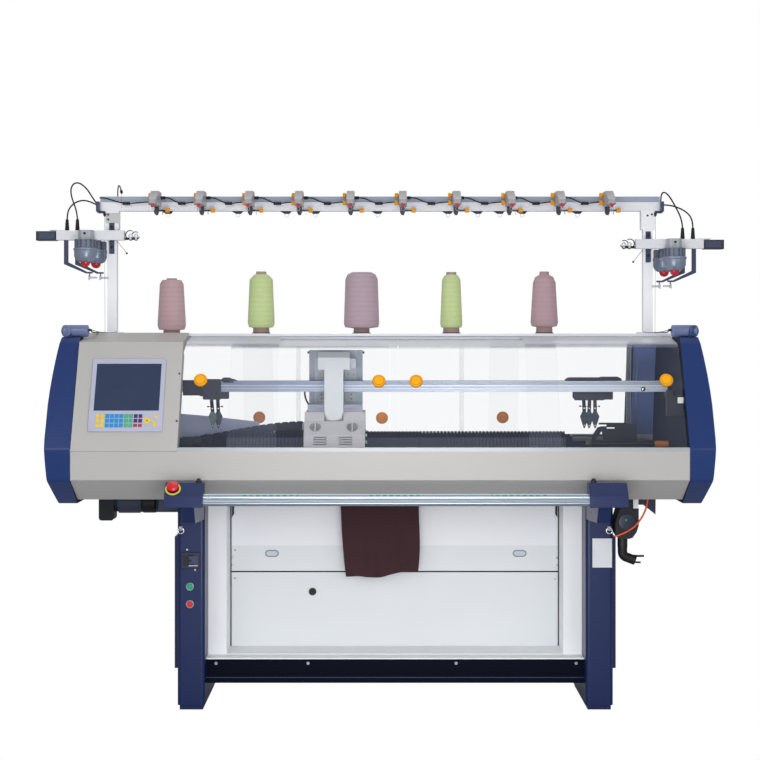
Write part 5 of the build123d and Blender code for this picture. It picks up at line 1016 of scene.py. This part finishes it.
class KNIT_OT_controls(bpy.types.Operator):
    """Screen, keypad, push buttons, emergency stop, breaker and start bar"""

    bl_idname = "knit.controls"
    bl_label = "Controls"

    def panel(self, solid):
        if solid.size.x > 260:
            return "screen_bezel", finish("bezel"), 1.0
        if solid.size.x > 200:
            return "screen_glass", finish("screen glass"), 0.0
        return None

    def fitting(self, solid):
        if solid.middle.x < -730 and solid.middle.z > 800:
            return "stop_ring", finish("collar yellow"), 0.5
        if solid.middle.x > 790 and solid.size.x > 50:
            return "blank_plate", finish("blank label"), 0.3
        if solid.size.x > 50:
            return "breaker_housing", finish("dark slate"), 1.5
        if solid.middle.z > 650:
            return "lifting_rings", finish("chrome"), 0.0
        return "button_bezels", finish("steel"), 0.8

    def keypad(self):
        """Membrane keys in rows on the slanted face, as one raised pad for each colour."""
        outward = Vector((-FACE_RISE.y, FACE_RISE.x))

        def key(x, up, width, height, turned=False):
            corners = []
            for lift in (5.6, 7.4):
                for a, b in ((-1, -1), (1, -1), (1, 1), (-1, 1)):
                    dx, dz = (a * width / 2, b * height / 2)
                    if turned:
                        dx, dz = (a - b) * width / 2.83, (a + b) * height / 2.83
                    spot = FACE_FOOT + FACE_RISE * (up + dz) + outward * lift
                    corners.append(place(x + dx, spot.x, spot.y))
            return corners

        rows = (98.5, 117.0, 135.5)
        arrows_x = -853.0
        pads = {
            "yellow": [(x, up, 14.0, 15.0) for x in (-1034.5, -1017.3) for up in rows] +
                      [(-823.5, 135.5, 13.0, 12.0), (-824.5, 105.0, 13.0, 20.0)],
            "blue": [(x, up, 15.0, 16.0) for x in (-999.7, -982.5, -965.4, -948.2) for up in rows],
            "green": [(x, up, 15.0, 16.0) for x in (-930.3, -913.1) for up in rows],
            "purple": [(x, up, 14.0, 15.0) for x in (-895.5, -878.3) for up in rows[1:]],
            "red": [(x, rows[0], 14.0, 13.0) for x in (-895.5, -878.3)],
            "arrow": [(arrows_x + dx, rows[1] + up, 11.5, 11.5, True)
                      for dx, up in ((-9, 0), (9, 0), (0, -9), (0, 9))],
        }
        for label, keys in pads.items():
            points = []
            faces = []
            for item in keys:
                start = len(points)
                points += key(*item)
                for quad in ((0, 1, 2, 3), (7, 6, 5, 4), (0, 4, 5, 1), (1, 5, 6, 2), (2, 6, 7, 3), (3, 7, 4, 0)):
                    faces.append([start + i for i in quad])
            mesh = bpy.data.meshes.new("keys_" + label)
            mesh.from_pydata(points, [], faces)
            colour = "key yellow" if label == "arrow" else "key " + label
            pad = add_object("keys_" + label, mesh, finish(colour), "base", ["screen_panel"])
            bevelled(pad, 1.2)
        spot = FACE_FOOT + FACE_RISE * rows[1] + outward * 6.0
        lathe("key_centre_0", ((3.2, 0.0), (3.2, 0.8), (2.2, 1.4)), place(arrows_x, spot.x, spot.y),
              (0, outward.x, outward.y), finish("slate paint"), "base", 16)

    def small_parts(self):
        """Collar of the emergency stop, screws and small plates of the breaker, and the blank field at the right leg."""
        lathe("stop_collar", ((22.5, 1.0), (22.5, 3.6), (21.0, 4.2)), place(-739.0, -559.4, 871.4),
              (0, -0.7071, 0.7071), finish("black plastic"), "base")
        for i, (x, z) in enumerate(((-731.5, 607.5), (-700.5, 531.0))):
            screw(f"breaker_screw_{i + 1}", x, -200.0, z, 3.4, finish("white plastic"))
        plate("breaker_guard", -744, -730, 548, 588, -213.2, -212.0, finish("black plastic"), "base", 0.6)
        plate("breaker_window", -724, -689, 556, 584, -212.8, -212.0, finish("slate paint"), "base", 0.4)
        plate("breaker_sill", -724, -689, 546, 551, -213.0, -212.0, finish("grey plastic"), "base", 0.3)
        plate("label_field", 811, 873, 548, 642, -201.9, -201.5, finish("blank label"), "base", 0.2)

    def execute(self, context):
        dress("screen_panel", self.panel)
        self.keypad()
        dress("switch_fittings", self.fitting)
        finish_node("estop_button", finish("red plastic"), 1.0)
        finish_node("green_button", finish("green plastic"), 1.2)
        finish_node("red_button", finish("red plastic"), 1.2)
        finish_node("breaker_lever", finish("black plastic"), 0.6)
        finish_node("start_bar", finish("start bar"), 0.0)
        self.small_parts()
        return {"FINISHED"}


class KNIT_OT_yarn(bpy.types.Operator):
    """Cone holders, tubes and wound yarn"""

    bl_idname = "knit.yarn"
    bl_label = "Yarn cones"

    def execute(self, context):
        colours = ("pink yarn", "green yarn", "mauve yarn", "green yarn", "rose yarn")
        places = (-824, -470, -73, 282, 650)

        def nearest(solid):
            return min(range(5), key=lambda i: abs(places[i] - solid.middle.x))

        dress("yarn_cones", lambda s: (f"yarn_package_{nearest(s) + 1}", finish(colours[nearest(s)]), 0.0))
        dress("cone_holders", lambda s: ("cone_pegs", finish("black plastic"), 0.0) if s.size.z < 150 else
              (f"cone_tube_{nearest(s) + 1}", finish("cone tube"), 0.5))
        return {"FINISHED"}


class KNIT_OT_knitting(bpy.types.Operator):
    """Needle beds, rails, yarn carriers, carriage, drag chain and cloth"""

    bl_idname = "knit.knitting"
    bl_label = "Knitting parts"

    def bed(self, solid):
        if solid.size.x > 1000:
            return "front_bed_tricks", finish("needle beds"), 0.0
        if solid.size.x < 30 and solid.middle.x > 1000:
            return "buffer_sleeves", finish("sleeve orange"), 0.6
        if solid.size.x < 100 and solid.middle.x < -690:
            return "bed_end_pad", finish("pad green"), 2.0
        if solid.middle.x > 850:
            return "buffer_bracket", finish("black paint"), 1.0
        return "bed_end_blocks", finish("blued steel"), 1.0

    def rail(self, solid):
        if solid.size.x > 1000:
            return "guide_rails", finish("guide rails"), 0.5
        if solid.middle.y < -200:
            return "hood_switch", finish("black paint"), 2.0
        return "rail_brackets", finish("carrier black"), 1.0

    def arch(self, solid):
        if solid.size.z > 300:
            return "carriage_arch", finish("carriage arch"), 1.0
        if solid.size.x < 20:
            return "carriage_pins", finish("slate paint"), 0.6
        return "carriage_plates", finish("carriage plates"), 0.8

    def execute(self, context):
        dress("front_needle_bed", self.bed)
        finish_node("rear_needle_bed", finish("needle beds"))
        dress("yarn_rails", self.rail)
        dress("carriage_bow", self.arch, "carriage")
        finish_node("carriage_cover", finish("carriage white"), 2.0)
        finish_node("cam_box_covers", finish("cam cover beige"), 1.5)
        for i in range(5):
            name = f"yarn_carrier_{i + 1}"
            blade = finish("carrier blade" if i == 0 else "dark blade")
            made = dress(name, lambda s: (name + "_blade", blade, 0.3) if s.size.y < 3 else
                         (name + "_body", finish("carrier black"), 0.6), name)
            for piece in made:
                if "_blade" in piece.name:
                    self.blade_tip(name, piece)
        finish_node("drag_chain", finish("chain plastic"), 1.0)
        self.rail_fittings()
        self.chain_shade_and_carrier_grip()
        self.carriage_fittings()
        cloth_skin()
        return {"FINISHED"}

    def blade_tip(self, name, blade):
        """Pale eyelet near the point of a carrier's blade."""
        low = min(vertex.co.z for vertex in blade.data.vertices)
        front = min(vertex.co.y for vertex in blade.data.vertices)
        point = [vertex.co.x for vertex in blade.data.vertices if vertex.co.z < low + 2 * MM]
        centre = Vector((sum(point) / len(point), front, low + 11 * MM))
        lathe(name + "_tip", ((3.0, 0.0), (3.0, 0.3), (2.2, 0.5)), centre, (0, -1, 0), finish("ceramic"), name, 16)

    def rail_fittings(self):
        """Recessed screw of the right rail, plug of the hood switch and the loose blue splash sheet."""
        lathe("rail_screw_ring", ((9.0, 0.0), (9.0, 1.0), (6.5, 1.6)), place(1023.5, -39.0, 1211.0), (0, -1, 0),
              finish("black plastic"), "base", 24)
        lathe("rail_screw", ((5.0, 1.0), (5.0, 2.2), (3.5, 2.8)), place(1023.5, -39.0, 1211.0), (0, -1, 0),
              finish("chrome"), "base", 16)
        plate("switch_plug", 1104, 1125, 1168, 1190, -335.0, -328.0, finish("white plastic"), "base", 1.0)
        lathe("switch_gland", ((9.0, 0.0), (9.0, 8.0), (5.0, 14.0)), place(1098.0, -328.0, 1204.0), (0, -1, 0),
              finish("blued steel"), "base", 20, 0.6)
        prism("splash_sheet", ((-870, 858), (-870, 1104), (-840, 1106), (-700, 1094), (-487, 1070), (-487, 858)),
              216.0, 218.0, finish("blue sheet"), "base", 0.4)

    def chain_shade_and_carrier_grip(self):
        """Dark plate of painted shade behind the chain, on the rear beam, and the side knob of the left carrier.
        """
        plate("chain_tray", -420, -296, 935, 1044, 211.0, 213.0, finish("dark slate"), "base", 0.4)
        plate("carrier_grip", -701, -687, 1183, 1201, -44.0, -30.0, finish("carrier black"), "yarn_carrier_1", 1.5)

    def carriage_fittings(self):
        """Screws and rivets of the plates, and the cable beside the arch."""
        for i, (x, z) in enumerate(((-231.0, 1187.0), (-231.0, 1170.0), (-113.0, 1187.0), (-113.0, 1170.0))):
            screw(f"plate_screw_{i + 1}", x, 52.0, z, 2.6, finish("black plastic"), "carriage")
        for i, (x, z) in enumerate(((-107.0, 1311.0), (-107.0, 1304.0), (-125.0, 1266.0), (-104.0, 1266.0))):
            screw(f"plate_rivet_{i + 1}", x, 52.0, z, 2.0, finish("slate paint"), "carriage")
        route = ((-292.0, 66.0, 1230.0), (-297.0, 67.0, 1212.0), (-298.0, 67.0, 1190.0), (-293.0, 67.0, 1166.0),
                 (-283.0, 66.0, 1148.0), (-276.0, 64.0, 1140.0))
        wire("carriage_cable", route, 7.0, finish("rubber"), "carriage")


def cloth_skin():
    """Soft knitted strip: hangs from the needle gap, with folds and an uneven lower edge."""
    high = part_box("cloth")[1]
    middle_y = place(0, 0, 0).y
    columns, rows = 90, 150
    mesh = bmesh.new()
    grid = []
    for j in range(rows + 1):
        v = j / rows
        line = []
        for i in range(columns + 1):
            u = i / columns
            left = -0.157 + 0.024 * v ** 3
            right = 0.160 - 0.012 * v ** 2 + 0.004 * math.sin(9 * v)
            x = left + (right - left) * u
            bottom = 0.4785 + 0.022 * u - 0.012 * math.sin(3.0 * u + 0.3) + 0.004 * math.sin(11 * u)
            z = high.z + (bottom - high.z) * v
            loose = max(0.0, (v - 0.45) / 0.55)
            y = middle_y + loose * (0.0045 * math.sin(14 * u + 3 * v) + 0.003 * math.sin(31 * u - 5 * v + 1.0))
            line.append(mesh.verts.new((x, y, z)))
        grid.append(line)
    for j in range(rows):
        for i in range(columns):
            mesh.faces.new((grid[j][i], grid[j][i + 1], grid[j + 1][i + 1], grid[j + 1][i]))
    data = bpy.data.meshes.new("cloth_strip")
    mesh.to_mesh(data)
    mesh.free()
    smooth_by_angle(data, 80.0)
    cloth = add_object("cloth_strip", data, finish("knitted cloth"), "base", ["cloth"])
    skin = cloth.modifiers.new("Cloth thickness", "SOLIDIFY")
    skin.thickness = 0.002
    skin.offset = 0.0
    return cloth


class KNIT_OT_stand(bpy.types.Operator):
    """Posts, top bar, tension units, leads and storage feeders"""

    bl_idname = "knit.stand"
    bl_label = "Top stand"

    def unit(self, s):
        if s.size.y > 150:
            return "tension_cases", finish("unit case"), 0.8
        if abs(s.size.y - 14) < 0.5 and s.middle.y < 0:
            return "tension_lamps", finish("lamp red"), 0.6
        if s.size.x > 40 and s.size.y < 8.5 and s.middle.y < 110:
            return "tension_blades", finish("dark steel"), 0.4
        if abs(s.size.x - 17) < 0.5 and s.size.y > 16.5:
            return "tension_knobs", finish("yellow plastic"), 1.2
        if s.size.x > 40:
            return "eyelet_plates", finish("dark slate"), 0.6
        return "wire_eyes", finish("chrome"), 0.0

    def beam(self, s):
        if s.size.x > 250:
            return "feeder_rails", finish("feeder rail"), 0.6
        if s.size.x > 70:
            return "feeder_ends", finish("dark slate"), 1.5
        if s.size.z > 40 and s.size.x < 19:
            return "strain_reliefs", finish("rubber"), 0.8
        if abs(s.size.x - 18) < 0.5:
            return "yarn_rings", finish("ceramic"), 1.0
        if s.size.x < 13 and s.size.z < 13 and s.size.z > 10:
            return "clamp_screws", finish("black plastic"), 0.5
        if s.size.x < 30 and s.size.z > 25:
            return "post_clamps", finish("slate paint"), 0.6
        return "yarn_hooks", finish("black paint"), 0.4

    def feeder(self, s):
        if s.size.y < 5:
            return "feeder_arms", finish("slate paint"), 0.5
        if s.size.x < 36:
            return "feeder_eyes", finish("ceramic"), 0.4
        if s.size.x < 42:
            return "feeder_domes", finish("red plastic"), 1.0
        if s.size.z > 50:
            return "feeder_bowls", finish("feeder bowl"), 1.0
        if abs(s.size.z - 34) < 0.5:
            return "feeder_drums", finish("feeder drum"), 0.8
        return "feeder_heads", finish("feeder head"), 1.2

    def execute(self, context):
        finish_node("tension_posts", finish("pale post"), 1.0)
        dress("top_bar", lambda s: ("top_channel", finish("top channel"), 0.6) if s.size.x > 1000 else
              ("end_brackets", finish("slate paint"), 0.8))
        dress("tension_units", self.unit)
        dress("feeder_beams", self.beam)
        dress("storage_feeders", self.feeder)
        finish_node("unit_leads", finish("rubber"))
        self.post_fittings()
        self.beam_fittings()
        return {"FINISHED"}

    def post_fittings(self):
        """Head plate, screws, hanging plugs and the thin guide wires down to the table."""
        plate("post_head_plate", -1093, -1036, 1868, 1908, 127.5, 131.0, finish("post plate"), "base", 0.8)
        self.plug_loop()
        for i, (x, z) in enumerate(((-1084.0, 1901.0), (-1084.0, 1882.0), (1068.0, 1898.0), (1085.0, 1903.0))):
            screw(f"post_screw_{i + 1}", x, 127.0 if x < 0 else 131.0, z, 4.0, finish("black plastic"))
        for side in (-1, 1):
            tag = "right" if side > 0 else "left"
            lathe(f"thread_plug_{tag}", ((5.0, 0.0), (6.0, 4.0), (5.0, 11.0), (2.0, 16.0)),
                  place(side * 1098, 122, 1909), (0, 0, -1), finish("black plastic"), "base", 16)
            line = ((side * 1098, 122, 1895), (side * 1096, 121.5, 1427.5))
            wire(f"guide_wire_{tag}", line, 1.6, finish("steel"), "base", False)

    def plug_loop(self):
        """Short lead with a plug that comes up out of the top bar at the left."""
        route = ((-1050, 150, 1972), (-1050, 150, 1998), (-1047, 150, 2021), (-1040, 150, 2016),
                 (-1036, 149, 1998))
        wire("plug_lead", route, 5.0, finish("rubber"), "base")
        lathe("plug_body", ((3.0, 0.0), (5.5, 3.0), (5.5, 12.0), (2.5, 16.0)), place(-1036.5, 149, 2002),
              (0.2, 0, -1), finish("rubber"), "base", 16)
        tail = ((-1033, 148, 1986), (-1032, 131, 1978), (-1032, 130.5, 1955), (-1031, 130.5, 1925))
        wire("plug_tail", tail, 1.6, finish("cone tube"), "base")

    def beam_fittings(self):
        """Cover strips, end faces and head screws of the feeder beams, and the bent wires with ball ends."""
        for side, drop in ((-1, 0.0), (1, 34.0)):
            tag = "right" if side > 0 else "left"
            z = 1836.0 - drop
            outline = ((side * 1313, z), (side * 1313, z + 2.5), (side * 1262, z + 2.5), (side * 1262, z))
            prism(f"beam_strip_{tag}", outline, 96.0, 127.0, finish("feeder rail"), "base", 0.4)
            outline = ((side * 1352, z - 34), (side * 1352, z - 9), (side * 1290, z - 9), (side * 1290, z - 34))
            prism(f"end_box_face_{tag}", outline, 84.2, 85.0, finish("slate paint"), "base", 0.4)
            screw(f"head_screw_{tag}", side * 1164, 46.0, z - 14, 5.0, finish("black plastic"))
            start = (side * 1048, 118.0, 1797.0 - drop)
            bend = (side * 1026, 116.0, 1768.0 - drop)
            tip = (side * 1008, 114.0, 1746.0 - drop)
            wire(f"catch_wire_{tag}", (start, bend, tip), 2.2, finish("steel"), "base")
            lathe(f"catch_ball_{tag}", ((2.0, -4.0), (4.0, -2.0), (4.2, 1.0), (2.4, 4.0)), place(*tip), (0, 0, 1),
                  finish("slate paint"), "base", 16)


class KNIT_OT_drive(bpy.types.Operator):
    """Motors, rollers, pulleys and belt"""

    bl_idname = "knit.drive"
    bl_label = "Drive"

    def motor(self, s):
        if s.middle.x < -1040:
            return "gearbox", finish("motor black"), 2.0
        if s.middle.x < -940 and s.size.y > 60:
            return "main_motor", finish("motor slate"), 2.0
        if s.middle.x < -880 and s.size.y > 60:
            return "motor_cap", finish("black plastic"), 2.0
        if s.middle.x < 0:
            return "hung_plate", finish("plate slate"), 0.8
        if s.size.x < 25:
            return "junction_box", finish("white plastic"), 0.8
        if s.size.y < 8:
            return "side_gusset", finish("dark slate"), 0.5
        if s.middle.z < 620:
            return "drain_hose", finish("rubber"), 1.0
        return "take_down_housing", finish("motor black"), 2.5

    def execute(self, context):
        dress("drive_motors", self.motor)
        finish_node("drive_belt", finish("rubber"))
        finish_node("takedown_roller", finish("rubber"))
        finish_node("press_roller", finish("steel"))
        finish_node("motor_pulley", finish("steel"))
        finish_node("idler_pulley", finish("steel"))
        lathe("drive_signal", ((5.0, 0.0), (5.0, 1.2), (3.6, 2.4)), place(927.0, -236.0, 724.0), (0, -1, 0),
              finish("green plastic"), "base", 20)
        lathe("housing_ring", ((30.0, 0.0), (30.0, 1.2), (27.0, 1.8)), place(930.0, -236.0, 716.0), (0, -1, 0),
              finish("dark slate"), "base", 32)
        route = ((1012.0, -216.5, 800.0), (1009.0, -217.0, 782.0), (1003.0, -221.0, 760.0), (988.0, -232.0, 734.0),
                 (966.0, -241.0, 706.0), (936.0, -243.0, 684.0), (906.0, -242.0, 670.0), (884.0, -239.0, 662.0))
        wire("orange_cable", route, 7.0, finish("cable orange"), "base")
        for i, (x, z, size) in enumerate(((1004.0, 580.0, 8.0), (991.0, 556.0, 7.0))):
            route = ((966.0, -178.0, z + 2), (980.0, -178.0, z), (x, -178.0, z + 1))
            wire(f"hose_stub_{i + 1}", route, size, finish("rubber"), "base")
        return {"FINISHED"}


STEPS = ("stage", "leads", "body", "hoods", "controls", "yarn", "knitting", "stand", "drive")


class KNIT_PT_panel(bpy.types.Panel):
    """Steps that dress the machine"""

    bl_idname = "KNIT_PT_panel"
    bl_label = "Knitting machine"
    bl_space_type = "VIEW_3D"
    bl_region_type = "UI"
    bl_category = "Knitting machine"

    def draw(self, context):
        for settings in (context.scene.knit_stage, context.scene.knit_finish):
            for name in settings.__annotations__:
                self.layout.prop(settings, name)
        for step in STEPS:
            self.layout.operator("knit." + step)


CLASSES = (KnitStageSettings, KnitFinishSettings, KNIT_OT_stage, KNIT_OT_leads, KNIT_OT_body, KNIT_OT_hoods,
           KNIT_OT_controls, KNIT_OT_yarn, KNIT_OT_knitting, KNIT_OT_stand, KNIT_OT_drive, KNIT_PT_panel)


def register():
    for made in CLASSES:
        bpy.utils.register_class(made)
    bpy.types.Scene.knit_stage = bpy.props.PointerProperty(type=KnitStageSettings)
    bpy.types.Scene.knit_finish = bpy.props.PointerProperty(type=KnitFinishSettings)


def unregister():
    del bpy.types.Scene.knit_finish
    del bpy.types.Scene.knit_stage
    for made in reversed(CLASSES):
        bpy.utils.unregister_class(made)


def main():
    register()
    for step in STEPS:
        getattr(bpy.ops.knit, step)()


if __name__ == "__main__":
    main()
